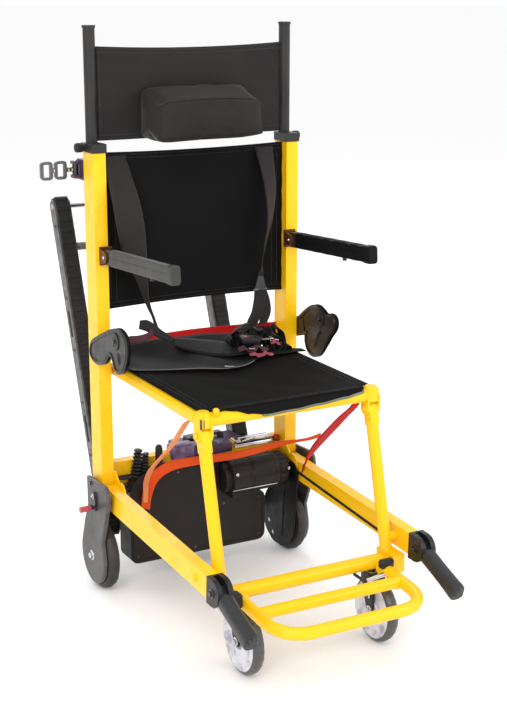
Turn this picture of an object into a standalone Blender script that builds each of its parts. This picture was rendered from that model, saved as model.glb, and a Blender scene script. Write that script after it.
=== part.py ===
"""Electric stair chair: a folding transport chair with crawler tracks, modelled in metres, +Z up.

The chair faces -Y. Left and right are the sitter's, so right is at -X. Everything is placed from
the point on the floor midway between the posts, and the whole chair then hangs from one empty
that carries it to the middle of its own footprint.
"""

import math

import bpy
import bmesh
from mathutils import Matrix, Vector

# Clearances
SEAT_GAP = 0.0003
RUN_GAP = 0.0003
SIDE_GAP = 0.0015

# Rounding of the turned and bent pieces
TUBE_SIDES = 16
SEAT_TUBE_SIDES = 12
PIN_SIDES = 16
WHEEL_STEPS = 24

# Middle of the footprint
FOOTPRINT_X = -0.0161
FOOTPRINT_Y = -0.1718

# Posts
POST_SPACING = 0.450
POST_WIDTH = 0.028
POST_DEPTH = 0.052
POST_WALL = 0.0015
POST_Y = -0.005
POST_FOOT_Z = 0.205
POST_TOP_Z = 0.951

# Crossbars between the posts
LOWER_BAR_DEPTH = 0.025
LOWER_BAR_HEIGHT = 0.050
LOWER_BAR_Z = 0.253
LOWER_BAR_BACKSET = 0.017
BAR_WALL = 0.002
UPPER_BAR_RADIUS = 0.010
UPPER_BAR_Z = 0.900
UPPER_BAR_BACKSET = 0.0155

# Head frame
HEAD_TOP_Z = 1.199
HEAD_INSERT = 0.150
TUBE_CAP_HEIGHT = 0.004
TUBE_CAP_LIP = 0.0015
COLLAR_HEIGHT = 0.018
COLLAR_LIP = 0.002
COLLAR_BOSS_RADIUS = 0.008
COLLAR_BOSS_LENGTH = 0.004
CLAMP_KNOB_RADIUS = 0.0085
CLAMP_KNOB_LENGTH = 0.016
CLAMP_SCREW_RADIUS = 0.003
SLING_THICKNESS = 0.003
SLING_LOW_Z = 0.972
SLING_HIGH_Z = 1.161
SLING_TOP_SAG = 0.006
SLING_BELLY = 0.004
CUSHION_WIDTH = 0.246
CUSHION_HEIGHT = 0.105
CUSHION_DEPTH = 0.090
CUSHION_LOW_Z = 0.976
CUSHION_TOP_SLOPE = 0.30
CUSHION_EDGE = 0.013
CUSHION_CROWN = 0.010
CUSHION_DRAW = 0.006

# Backrest and its straps
BACK_LOW_Z = 0.622
BACK_HIGH_Z = 0.950
BACK_Y = -0.010
BACK_BELLY = 0.006
PANEL_THICKNESS = 0.004
WEB_THICKNESS = 0.0022

# Arms
ARM_INSET = 0.0075
ARM_WIDTH = 0.018
ARM_HEIGHT = 0.033
ARM_REACH = 0.318
ARM_RISE = math.radians(3.4)
ARM_PIVOT_Y = -0.0535
ARM_PIVOT_Z = 0.741
ARM_PIN_RADIUS = 0.004
ARM_EAR = 0.0042
ARM_BRACKET_HEIGHT = 0.038
ARM_BRACKET_BASE = 0.005
ARM_STOP_REACH = 0.210

# Seat
SEAT_PIVOT_Y = -0.005
SEAT_PIVOT_Z = 0.488
SEAT_TUBE_RADIUS = 0.014
RAIL_INSET = 0.0375
RAIL_Z = 0.487
FRONT_RAIL_Y = -0.418
CORNER_RADIUS = 0.0175
CORNER_TOP = 0.0185
HINGE_PIN_RADIUS = 0.006
SEAT_CLOTH_LAP = 0.0115
SEAT_CLOTH_BACK_Y = -0.045
SEAT_SAG = 0.007
LOCK_THICKNESS = 0.0138

# Leg frame
LEG_RADIUS = 0.0125
LEG_EYE_Y = -0.4196
LEG_EYE_Z = 0.459
LEG_EYE_WIDTH = 0.020
LEG_EYE_RADIUS = 0.0125
LEG_NECK = 0.024
EAR_THICKNESS = 0.0045
LEG_FOOT_Y = -0.4925
LEG_FOOT_Z = 0.160
STRETCHER_RADIUS = 0.0148
RAIL_PIN_Z = 0.203
FOOT_BLOCK_WIDTH = 0.029
FOOT_BLOCK_LOW_Z = 0.1435
FOOT_BLOCK_HIGH_Z = 0.182
FOOT_BLOCK_FRONT_Y = -0.532
FOOT_BLOCK_BACK_Y = -0.474

# Side rails
SIDE_TUBE_WIDTH = 0.025
SIDE_TUBE_HEIGHT = 0.045
SIDE_TUBE_WALL = 0.002
SIDE_TUBE_FRONT_Y = -0.535
SIDE_TUBE_DROP = math.radians(2.23)
SIDE_TUBE_FALL = 0.013
SIDE_TUBE_BACK = 0.031
END_BLOCK_WIDTH = 0.033
END_BLOCK_RADIUS = 0.027
END_BLOCK_LENGTH = 0.022
END_PLUG_LENGTH = 0.025
HANDLE_RADIUS = 0.0148
HANDLE_LENGTH = 0.134
HANDLE_DROP = math.radians(21.5)
HANDLE_EYE_WIDTH = 0.012
HANDLE_PIN_RADIUS = 0.005

# Footrest
FOOTREST_INSET = 0.0265
FOOTREST_RADIUS = 0.0125
FOOTREST_PIVOT_Y = -0.5215
FOOTREST_PIVOT_Z = 0.1562
FOOTREST_FRONT_Y = -0.682
FOOTREST_FRONT_Z = 0.143
FOOTREST_CORNER = 0.062
FOOTREST_MID_Y = -0.583
FOOTREST_PIN_RADIUS = 0.004

# Casters
CASTER_INSET = 0.0365
CASTER_TRAIL = 0.020
CASTER_RADIUS = 0.068
CASTER_WIDTH = 0.026
CASTER_AXLE_RADIUS = 0.004
FORK_WALL = 0.004
FORK_CROWN = 0.0045
FORK_STEM_RADIUS = 0.008
FORK_STEM_TOP_Z = 0.168

# Rear wheels and their carriers
REAR_WHEEL_RADIUS = 0.076
REAR_WHEEL_WIDTH = 0.026
REAR_WHEEL_OUTSET = 0.0075
REAR_AXLE_Y = -0.005
REAR_AXLE_RADIUS = 0.006
CARRIER_THICKNESS = 0.008
CARRIER_GAP = 0.002
CARRIER_DISC_RADIUS = 0.064
BRAKE_PIVOT_Y = -0.032
BRAKE_PIVOT_Z = 0.222
BRAKE_ARM = 0.026
BRAKE_PEDAL = 0.030

# Drive unit
HOUSING_FRONT_Y = -0.032
HOUSING_LOW_Z = 0.046
HOUSING_HIGH_Z = 0.256
HOUSING_RIGHT_INSET = 0.049
HOUSING_LEFT_INSET = 0.067
HOUSING_STEP_X = 0.060
HOUSING_STEP_Z = 0.166
HOUSING_SHOULDER = 0.055
HOUSING_CORNER = 0.018
HOUSING_WALL = 0.003
MOTOR_RADIUS = 0.041
MOTOR_Z = 0.2155
MOTOR_RIGHT_X = 0.040
MOTOR_LEFT_INSET = 0.025
GEARBOX_HALF = 0.070
GEARBOX_BACK_Y = 0.116
GEARBOX_LOW_Z = 0.058
GEARBOX_HIGH_Z = 0.1445
BATTERY_RIGHT_X = -0.030
BATTERY_LEFT_X = 0.130
BATTERY_DEPTH = 0.060
BATTERY_HIGH_Z = 0.292
SPEED_KNOB_INSET = 0.127
SPEED_KNOB_RADIUS = 0.010
SPEED_KNOB_HEIGHT = 0.034

# Crawler tracks
TRACK_INSET = 0.0488
TRACK_LEAN = math.radians(19.5)
TRACK_AXLE_Y = 0.0844
TRACK_AXLE_Z = 0.0975
TRACK_LENGTH = 0.735
BELT_WIDTH = 0.0292
BELT_RADIUS = 0.0195
BELT_THICKNESS = 0.004
LUG_HEIGHT = 0.0032
LUG_COUNT = 62
TRACK_PLATE = 0.0047
TRACK_PLATE_RADIUS = 0.0150
TRACK_CORE = 0.012
SHAFT_RADIUS = 0.008
IDLER_SHAFT_RADIUS = 0.006
SPROCKET_TEETH = 10
SPROCKET_TOOTH = 0.003
TIE_RADIUS = 0.009
TIE_REACH = 0.640

# Operator's lever
LEVER_Z = 0.912
LEVER_Y = 0.045
LEVER_PIN_OUTSET = 0.023
LEVER_PIN_RADIUS = 0.003
LEVER_ROD_RADIUS = 0.0045
LEVER_RING_OUTSETS = (0.0555, 0.0860)
RING_WIDTH = 0.026
RING_HEIGHT = 0.038
RING_BAR = 0.006
RING_THICKNESS = 0.008

# Places that follow from the sizes above
POST_X = POST_SPACING / 2
POST_INNER = POST_X - POST_WIDTH / 2
POST_OUTER = POST_X + POST_WIDTH / 2
POST_FRONT = POST_Y - POST_DEPTH / 2
POST_REAR = POST_Y + POST_DEPTH / 2
ARM_X = POST_X - ARM_INSET
RAIL_X = POST_X - RAIL_INSET
FOOTREST_X = RAIL_X - FOOTREST_INSET
CASTER_X = RAIL_X - CASTER_INSET
REAR_WHEEL_X = POST_X + REAR_WHEEL_OUTSET
TRACK_X = POST_X - TRACK_INSET
HOUSING_RIGHT_X = HOUSING_RIGHT_INSET - POST_X
HOUSING_LEFT_X = POST_X - HOUSING_LEFT_INSET
MOTOR_LEFT_X = POST_X - MOTOR_LEFT_INSET
SPEED_KNOB_X = SPEED_KNOB_INSET - POST_X
LEVER_PIN_X = -POST_X - LEVER_PIN_OUTSET
LEVER_RINGS_X = [-POST_X - outset for outset in LEVER_RING_OUTSETS]
LOWER_BAR_Y = POST_Y + LOWER_BAR_BACKSET
BATTERY_FRONT = LOWER_BAR_Y + LOWER_BAR_DEPTH / 2 + 0.002
HOUSING_BACK_Y = BATTERY_FRONT - SEAT_GAP
HEAD_TUBE_RADIUS = POST_WIDTH / 2 - POST_WALL - RUN_GAP
HEAD_TUBE_Y = POST_REAR - POST_WALL - RUN_GAP - HEAD_TUBE_RADIUS
SEAT_PIVOT = Vector((0, SEAT_PIVOT_Y, SEAT_PIVOT_Z))
LEG_EYE = Vector((0, LEG_EYE_Y, LEG_EYE_Z))
LEG_FOOT = Vector((0, LEG_FOOT_Y, LEG_FOOT_Z))
LEG_LINE = (LEG_FOOT - LEG_EYE).normalized()
RAIL_PIN = LEG_EYE + LEG_LINE * ((RAIL_PIN_Z - LEG_EYE_Z) / LEG_LINE.z)
RAIL_PIVOT = SEAT_PIVOT + RAIL_PIN - LEG_EYE
SIDE_TUBE_LINE = Vector((0, -math.cos(SIDE_TUBE_DROP), -math.sin(SIDE_TUBE_DROP)))
SIDE_TUBE_START = RAIL_PIVOT + Vector((0, 0, -SIDE_TUBE_FALL)) - SIDE_TUBE_LINE * SIDE_TUBE_BACK
SIDE_TUBE_LENGTH = (SIDE_TUBE_START.y - SIDE_TUBE_FRONT_Y) / math.cos(SIDE_TUBE_DROP)
SIDE_TUBE_END = SIDE_TUBE_START + SIDE_TUBE_LINE * SIDE_TUBE_LENGTH
HANDLE_PIVOT = SIDE_TUBE_END + SIDE_TUBE_LINE * END_BLOCK_LENGTH
HANDLE_LINE = Vector((0, -math.cos(HANDLE_DROP), -math.sin(HANDLE_DROP)))
ARM_PIVOT = Vector((0, ARM_PIVOT_Y, ARM_PIVOT_Z))
ARM_LINE = Vector((0, -math.cos(ARM_RISE), math.sin(ARM_RISE)))
FOOTREST_PIVOT = Vector((0, FOOTREST_PIVOT_Y, FOOTREST_PIVOT_Z))
CASTER_PIVOT_Y = LEG_FOOT_Y
CASTER_AXLE = Vector((0, CASTER_PIVOT_Y - CASTER_TRAIL, CASTER_RADIUS))
FORK_UNDER_Z = 2 * CASTER_RADIUS + SIDE_GAP
REAR_AXLE = Vector((0, REAR_AXLE_Y, REAR_WHEEL_RADIUS))
CARRIER_X = REAR_WHEEL_X + REAR_WHEEL_WIDTH / 2 + CARRIER_GAP
BRAKE_PIVOT = Vector((0, BRAKE_PIVOT_Y, BRAKE_PIVOT_Z))
TRACK_LINE = Vector((0, math.sin(TRACK_LEAN), math.cos(TRACK_LEAN)))
TRACK_ACROSS = Vector((0, -math.cos(TRACK_LEAN), math.sin(TRACK_LEAN)))
TRACK_AXLE = Vector((0, TRACK_AXLE_Y, TRACK_AXLE_Z))
TRACK_TOP = TRACK_AXLE + TRACK_LINE * TRACK_LENGTH
TRACK_PLATE_X = BELT_WIDTH / 2 + SEAT_GAP
SPROCKET_RADIUS = BELT_RADIUS - BELT_THICKNESS - RUN_GAP

PIVOTS = {}


def finish(name, colour, roughness, metallic=0.0):
    """A surface finish, its colour given as linear red, green and blue."""
    material = bpy.data.materials.new(name)
    material.use_nodes = True
    shader = material.node_tree.nodes["Principled BSDF"]
    shader.inputs["Base Color"].default_value = (*colour, 1)
    shader.inputs["Roughness"].default_value = roughness
    shader.inputs["Metallic"].default_value = metallic
    material.diffuse_color = (*colour, 1)
    return material


def block(low, high):
    """A box from its lowest to its highest corner."""
    low, high = Vector(low), Vector(high)
    shape = bmesh.new()
    bmesh.ops.create_cube(shape, size=1)
    bmesh.ops.scale(shape, vec=high - low, verts=shape.verts)
    bmesh.ops.translate(shape, vec=(low + high) / 2, verts=shape.verts)
    return shape


def rod(start, end, radius, sides=TUBE_SIDES, end_radius=None):
    """A round bar between two points, tapered where its end has a radius of its own."""
    start, end = Vector(start), Vector(end)
    along = end - start
    if end_radius is None:
        end_radius = radius
    shape = bmesh.new()
    bmesh.ops.create_cone(
        shape, cap_ends=True, segments=sides, radius1=radius, radius2=end_radius, depth=along.length
    )
    turn = along.to_track_quat("Z", "Y").to_matrix().to_4x4()
    bmesh.ops.transform(shape, matrix=Matrix.Translation((start + end) / 2) @ turn, verts=shape.verts)
    return shape


def across(x_one, x_two, point, radius, sides=PIN_SIDES):
    """A round bar along X between two x values, through a point's y and z."""
    return rod((x_one, point[1], point[2]), (x_two, point[1], point[2]), radius, sides)


def arc(centre, radius, start, end, count):
    """Points along an arc in a plane, its angles in degrees."""
    turns = [math.radians(start + (end - start) * i / (count - 1)) for i in range(count)]
    return [(centre[0] + radius * math.cos(t), centre[1] + radius * math.sin(t)) for t in turns]


def plate(outline, low, high, facing="X"):
    """A flat outline in the plane square to an axis, made solid between two values on that axis."""
    shape = bmesh.new()
    places = {"X": lambda a, b: (low, a, b), "Y": lambda a, b: (a, low, b), "Z": lambda a, b: (a, b, low)}
    rim = [shape.verts.new(places[facing](a, b)) for a, b in outline]
    face = shape.faces.new(rim)
    grown = bmesh.ops.extrude_face_region(shape, geom=[face])
    moved = [item for item in grown["geom"] if isinstance(item, bmesh.types.BMVert)]
    step = {"X": (high - low, 0, 0), "Y": (0, high - low, 0), "Z": (0, 0, high - low)}[facing]
    bmesh.ops.translate(shape, vec=step, verts=moved)
    bmesh.ops.recalc_face_normals(shape, faces=shape.faces)
    return shape


def turned(profile, centre, steps=WHEEL_STEPS):
    """A closed profile of (x, radius) points turned about the X axis through the centre."""
    shape = bmesh.new()
    rim = [shape.verts.new((x, 0, radius)) for x, radius in profile]
    edges = [shape.edges.new((rim[i - 1], rim[i])) for i in range(len(rim))]
    bmesh.ops.spin(
        shape, geom=rim + edges, cent=(0, 0, 0), axis=(1, 0, 0),
        angle=2 * math.pi, steps=steps, use_merge=True,
    )
    bmesh.ops.recalc_face_normals(shape, faces=shape.faces)
    bmesh.ops.translate(shape, vec=Vector(centre), verts=shape.verts)
    return shape


def stadium(first, second, radius, count):
    """The outline round two circles of one radius whose centres are (y, z) points."""
    lean = math.degrees(math.atan2(second[1] - first[1], second[0] - first[0]))
    return arc(second, radius, lean - 90, lean + 90, count) + arc(
        first, radius, lean + 90, lean + 270, count
    )


def webbing(route):
    """A strap's middle surface through stations, each a centre and the vector to one edge of the web."""
    shape = bmesh.new()
    bmesh.ops.create_grid(shape, x_segments=1, y_segments=len(route) - 1, size=1)
    for vert in shape.verts:
        centre, half = route[round((vert.co.y + 1) / 2 * (len(route) - 1))]
        vert.co = Vector(centre) + Vector(half) * vert.co.x
    return shape


def smooth_route(stations, per_span=3):
    """Stations of (centre, half-width) with a smooth curve through them."""
    centres = [Vector(centre) for centre, half in stations]
    halves = [Vector(half) for centre, half in stations]
    route = []
    for i in range(len(stations) - 1):
        before, after = max(i - 1, 0), min(i + 2, len(stations) - 1)
        for step in range(per_span):
            t = step / per_span
            route.append((
                through(centres[before], centres[i], centres[i + 1], centres[after], t),
                halves[i].lerp(halves[i + 1], t),
            ))
    route.append((centres[-1], halves[-1]))
    return route


def through(before, here, there, after, t):
    """A point of the smooth curve that passes through here and there."""
    return 0.5 * (
        2 * here
        + (there - before) * t
        + (2 * before - 5 * here + 4 * there - after) * t * t
        + (3 * here - before - 3 * there + after) * t * t * t
    )


def mesh_from(shape):
    """A mesh that holds the shape, which is used up."""
    mesh = bpy.data.meshes.new("shape")
    shape.to_mesh(mesh)
    shape.free()
    return mesh


def combined(shape, others, operation):
    """The shape joined with, or cut by, each of the others."""
    base = bpy.data.objects.new("base", mesh_from(shape))
    bpy.context.scene.collection.objects.link(base)
    tools = []
    for other in others:
        tool = bpy.data.objects.new("tool", mesh_from(other))
        tool.hide_render = True
        tool.display_type = "WIRE"
        bpy.context.scene.collection.objects.link(tool)
        step = base.modifiers.new("step", "BOOLEAN")
        step.operation = operation
        step.object = tool
        tools.append(tool)
    graph = bpy.context.evaluated_depsgraph_get()
    result = bmesh.new()
    result.from_mesh(base.evaluated_get(graph).data)
    for obj in [base, *tools]:
        bpy.data.objects.remove(obj, do_unlink=True)
    return result


def joined(shape, *others):
    return combined(shape, others, "UNION")


def without(shape, *others):
    return combined(shape, others, "DIFFERENCE")


def pivot(name, place, parent="chair"):
    """An empty on a joint's axis, which carries the pieces that move there."""
    empty = bpy.data.objects.new(name, None)
    bpy.context.scene.collection.objects.link(empty)
    PIVOTS[name] = Vector(place)
    if parent in PIVOTS and parent != name:
        empty.parent = bpy.data.objects[parent]
        empty.location = PIVOTS[name] - PIVOTS[parent]
    return empty


def add_piece(name, shape, carrier, material, thickness=0, bevel=0, smooth_angle=35):
    """A named piece carried by a pivot. A thickness makes a sheet solid, and a bevel eases its edges."""
    bmesh.ops.translate(shape, vec=-PIVOTS[carrier], verts=shape.verts)
    mesh = mesh_from(shape)
    mesh.name = name
    obj = bpy.data.objects.new(name, mesh)
    bpy.context.scene.collection.objects.link(obj)
    obj.parent = bpy.data.objects[carrier]
    mesh.materials.append(material)
    mesh.shade_smooth()
    mesh.set_sharp_from_angle(angle=math.radians(smooth_angle))
    if thickness:
        wall = obj.modifiers.new("thickness", "SOLIDIFY")
        wall.thickness = thickness
        wall.offset = 0
    if bevel:
        ease = obj.modifiers.new("eased edges", "BEVEL")
        ease.width = bevel
        ease.segments = 2
        ease.limit_method = "ANGLE"
        ease.angle_limit = math.radians(40)
    return obj


def sides():
    """The two sides of the chair: a name and the sign of its x."""
    return (("right", -1), ("left", 1))


def make_posts(finishes):
    for side, sign in sides():
        x = sign * POST_X
        shell = block(
            (x - POST_WIDTH / 2, POST_FRONT, POST_FOOT_Z), (x + POST_WIDTH / 2, POST_REAR, POST_TOP_Z)
        )
        inset = POST_WALL
        bore = block(
            (x - POST_WIDTH / 2 + inset, POST_FRONT + inset, POST_FOOT_Z - inset),
            (x + POST_WIDTH / 2 - inset, POST_REAR - inset, POST_TOP_Z + inset),
        )
        tube = without(shell, bore)
        inner_wall = POST_INNER + POST_WALL * 0.6
        seat_spacer = across(
            sign * (RAIL_X + SEAT_TUBE_RADIUS + SEAT_GAP),
            sign * (POST_INNER + POST_WALL * 0.4),
            SEAT_PIVOT,
            HINGE_PIN_RADIUS + 0.004,
        )
        seat_pin = across(
            sign * (RAIL_X - SEAT_TUBE_RADIUS - 0.002), sign * inner_wall, SEAT_PIVOT, HINGE_PIN_RADIUS
        )
        lug_high = POST_X - SIDE_TUBE_WIDTH / 2 - SEAT_GAP
        lug = plate(
            [
                (POST_FRONT + 0.019, RAIL_PIVOT.z - 0.024),
                (POST_FRONT + 0.019, RAIL_PIVOT.z + 0.038),
                (POST_FRONT - 0.006, RAIL_PIVOT.z + 0.038),
                *arc((RAIL_PIVOT.y, RAIL_PIVOT.z), 0.022, 60, 300, 9),
            ],
            sign * (lug_high - 0.004),
            sign * lug_high,
        )
        rail_pin = across(
            sign * (lug_high - 0.002), sign * (POST_X + SIDE_TUBE_WIDTH / 2 + 0.001),
            RAIL_PIVOT, HINGE_PIN_RADIUS,
        )
        add_piece(
            f"post_{side}", joined(tube, seat_spacer, seat_pin, lug, rail_pin), "chair", finishes["yellow"]
        )


def make_crossbars(finishes):
    end = POST_INNER - SEAT_GAP
    y = POST_Y + LOWER_BAR_BACKSET
    half = Vector((end, LOWER_BAR_DEPTH / 2, LOWER_BAR_HEIGHT / 2))
    centre = Vector((0, y, LOWER_BAR_Z))
    wall = Vector((-BAR_WALL, BAR_WALL, BAR_WALL))
    bar = without(block(centre - half, centre + half), block(centre - half + wall, centre + half - wall))
    add_piece("lower_crossbar", bar, "chair", finishes["yellow"])
    upper_y = POST_Y + UPPER_BAR_BACKSET
    tube = rod((-end, upper_y, UPPER_BAR_Z), (end, upper_y, UPPER_BAR_Z), UPPER_BAR_RADIUS)
    add_piece("upper_crossbar", tube, "chair", finishes["black metal"])


def make_collars(finishes):
    for side, sign in sides():
        x = sign * POST_X
        low = POST_TOP_Z + SEAT_GAP
        high = low + COLLAR_HEIGHT
        clamp_z = (low + high) / 2
        half_width = POST_WIDTH / 2 + COLLAR_LIP
        body = block(
            (x - half_width, POST_FRONT - COLLAR_LIP, low), (x + half_width, POST_REAR + COLLAR_LIP, high)
        )
        outer = POST_OUTER + COLLAR_LIP
        boss_end = outer + COLLAR_BOSS_LENGTH
        axis = (0, HEAD_TUBE_Y, clamp_z)
        boss = across(sign * (outer - 0.004), sign * boss_end, axis, COLLAR_BOSS_RADIUS)
        bore = rod(
            (x, HEAD_TUBE_Y, low - 0.01), (x, HEAD_TUBE_Y, high + 0.01),
            HEAD_TUBE_RADIUS + RUN_GAP, TUBE_SIDES,
        )
        screw_hole = across(
            sign * (POST_X + HEAD_TUBE_RADIUS - 0.004), sign * (boss_end + 0.01),
            axis, CLAMP_SCREW_RADIUS + RUN_GAP,
        )
        collar = without(joined(body, boss), bore, screw_hole)
        add_piece(f"collar_{side}", collar, "chair", finishes["plastic"])
        carrier = f"clamp_axis_{side}"
        pivot(carrier, (sign * boss_end, HEAD_TUBE_Y, clamp_z))
        knob_start = boss_end + SEAT_GAP
        knob = across(
            sign * knob_start, sign * (knob_start + CLAMP_KNOB_LENGTH), axis, CLAMP_KNOB_RADIUS, 12
        )
        screw = across(
            sign * (POST_X + HEAD_TUBE_RADIUS + 0.001), sign * (knob_start + 0.003),
            axis, CLAMP_SCREW_RADIUS,
        )
        add_piece(f"clamp_knob_{side}", joined(knob, screw), carrier, finishes["plastic"])


def make_head_frame(finishes):
    pivot("head_slide", (0, HEAD_TUBE_Y, POST_TOP_Z))
    for side, sign in sides():
        x = sign * POST_X
        tube = rod(
            (x, HEAD_TUBE_Y, POST_TOP_Z - HEAD_INSERT), (x, HEAD_TUBE_Y, HEAD_TOP_Z), HEAD_TUBE_RADIUS
        )
        cap = rod(
            (x, HEAD_TUBE_Y, HEAD_TOP_Z - 0.001),
            (x, HEAD_TUBE_Y, HEAD_TOP_Z + TUBE_CAP_HEIGHT),
            HEAD_TUBE_RADIUS + TUBE_CAP_LIP,
        )
        add_piece(f"head_tube_{side}", joined(tube, cap), "head_slide", finishes["black metal"])
    half = POST_X - HEAD_TUBE_RADIUS - SEAT_GAP
    sling = panel(half, SLING_LOW_Z, SLING_HIGH_Z, 12, 6)
    for vert in sling.verts:
        middle = 1 - (vert.co.x / half) ** 2
        height = (vert.co.z - SLING_LOW_Z) / (SLING_HIGH_Z - SLING_LOW_Z)
        vert.co.y = HEAD_TUBE_Y - SLING_BELLY * middle * (1 - height) * height * 4
        vert.co.z -= SLING_TOP_SAG * middle * height
    add_piece("head_sling", sling, "head_slide", finishes["cloth"], thickness=SLING_THICKNESS)
    make_cushion(finishes)


def panel(half_width, low, high, columns, rows):
    """An upright sheet across the chair, ready to be given its belly."""
    shape = bmesh.new()
    bmesh.ops.create_grid(shape, x_segments=columns, y_segments=rows, size=1)
    for vert in shape.verts:
        x, y = vert.co.x, vert.co.y
        vert.co = Vector((x * half_width, 0, low + (high - low) * (y + 1) / 2))
    return shape


def make_cushion(finishes):
    """A head pad with a crowned front, a top that falls forward and sides drawn in between the corners."""
    shape = bmesh.new()
    bmesh.ops.create_cube(shape, size=2)
    bmesh.ops.subdivide_edges(shape, edges=shape.edges, cuts=7, use_grid_fill=True)
    half = Vector((CUSHION_WIDTH / 2, CUSHION_DEPTH / 2, CUSHION_HEIGHT / 2))
    back = HEAD_TUBE_Y - SLING_BELLY - SLING_THICKNESS / 2 - SEAT_GAP
    core = half - Vector((CUSHION_EDGE,) * 3)
    for vert in shape.verts:
        u, v, w = vert.co
        place = Vector((u * half.x, v * half.y, w * half.z))
        inner = Vector([max(-core[i], min(core[i], place[i])) for i in range(3)])
        away = place - inner
        if away.length > 1e-9:
            place = inner + away.normalized() * CUSHION_EDGE
        front = (1 - v) / 2
        place.x *= 1 - CUSHION_DRAW / half.x * (1 - w * w) * front
        place.y -= CUSHION_CROWN * (1 - u * u) * (1 - w * w) * front
        place.z += CUSHION_CROWN * 0.6 * (1 - u * u) * max(w, 0)
        place.z -= CUSHION_TOP_SLOPE * (half.y - place.y) * max(w, 0)
        vert.co = place + Vector((0, back - half.y, CUSHION_LOW_Z + half.z))
    add_piece("head_cushion", shape, "head_slide", finishes["cloth"], smooth_angle=60)


def make_backrest(finishes):
    half = POST_INNER - SEAT_GAP
    shape = panel(half, BACK_LOW_Z, BACK_HIGH_Z, 14, 8)
    for vert in shape.verts:
        middle = 1 - (vert.co.x / half) ** 2
        height = (vert.co.z - BACK_LOW_Z) / (BACK_HIGH_Z - BACK_LOW_Z)
        vert.co.y = BACK_Y + BACK_BELLY * middle * (0.6 + 0.4 * math.sin(math.pi * height))
        vert.co.z += 0.004 * middle * (1 if height < 0.5 else -1) * abs(2 * height - 1) ** 3
    add_piece("backrest_panel", shape, "chair", finishes["cloth"], thickness=PANEL_THICKNESS)


def make_shoulder_straps(finishes):
    """The shoulder straps, each by its way in from the post, ahead of the panel and down from its top."""
    right = [
        (0.031, 0.0032, 0.008, (0.024, 0, 0)),
        (0.033, 0.018, 0.050, (0.026, 0.002, 0)),
        (0.039, 0.040, 0.105, (0.030, 0.006, 0)),
        (0.043, 0.048, 0.160, (0.031, 0.008, 0)),
        (0.047, 0.044, 0.215, (0.026, 0.006, 0)),
        (0.059, 0.030, 0.270, (0.018, 0.002, 0)),
        (0.069, 0.017, 0.315, (0.012, -0.003, 0)),
        (0.075, 0.009, 0.360, (0.009, -0.002, 0)),
        (0.081, 0.006, 0.380, (0.009, 0, 0)),
    ]
    left = [
        (0.039, 0.0032, 0.008, (0.020, 0, 0)),
        (0.039, 0.016, 0.050, (0.020, -0.004, 0)),
        (0.043, 0.030, 0.100, (0.016, -0.012, 0)),
        (0.053, 0.038, 0.160, (0.008, -0.018, 0)),
        (0.061, 0.034, 0.215, (0.006, -0.018, 0)),
        (0.068, 0.026, 0.270, (0.010, -0.014, 0)),
        (0.073, 0.017, 0.315, (0.018, -0.004, 0)),
        (0.075, 0.009, 0.360, (0.018, 0, 0)),
        (0.081, 0.006, 0.380, (0.018, 0, 0)),
    ]
    for side, sign, route in (("right", -1, right), ("left", 1, left)):
        stations = [
            ((sign * (POST_INNER - inset), BACK_Y - out, BACK_HIGH_Z - drop), lean)
            for inset, out, drop, lean in route
        ]
        strap = webbing(smooth_route(stations))
        add_piece(f"shoulder_strap_{side}", strap, "chair", finishes["black web"], thickness=WEB_THICKNESS)


def make_bands(finishes):
    """The red band behind the seat and the orange one that lies over the drive unit."""
    end = POST_INNER - SEAT_GAP
    y = POST_Y + 0.020
    upright = (0, 0, 0.013)
    red = [
        ((-end, y, 0.528), upright),
        ((-end * 0.57, y + 0.006, 0.531), upright),
        ((0, y + 0.008, 0.534), upright),
        ((end * 0.57, y + 0.006, 0.532), upright),
        ((end, y, 0.529), upright),
    ]
    add_piece("red_band", webbing(smooth_route(red)), "chair", finishes["red web"], thickness=WEB_THICKNESS)
    front = HOUSING_FRONT_Y - SEAT_GAP - WEB_THICKNESS / 2
    ahead = -MOTOR_RADIUS * 2 - 0.012
    side = HOUSING_RIGHT_X
    orange = [
        ((side + 0.036, front, 0.172), (0.010, 0, -0.004)),
        ((side + 0.038, front - 0.008, 0.210), (0.009, -0.003, -0.006)),
        ((side + 0.052, front - 0.017, 0.248), (0.006, -0.004, -0.009)),
        ((side + 0.086, front - 0.028, 0.271), (0.001, -0.004, -0.010)),
        ((-0.030, ahead + 0.022, 0.277), (0, -0.003, -0.010)),
        ((0.050, ahead, 0.283), (0, -0.002, -0.010)),
        ((MOTOR_LEFT_X - 0.080, ahead - 0.006, 0.290), (0, 0, -0.010)),
        ((MOTOR_LEFT_X - 0.050, ahead - 0.010, 0.294), (0, 0, -0.010)),
    ]
    add_piece(
        "orange_band", webbing(smooth_route(orange)), "chair", finishes["orange web"],
        thickness=WEB_THICKNESS,
    )


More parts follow.
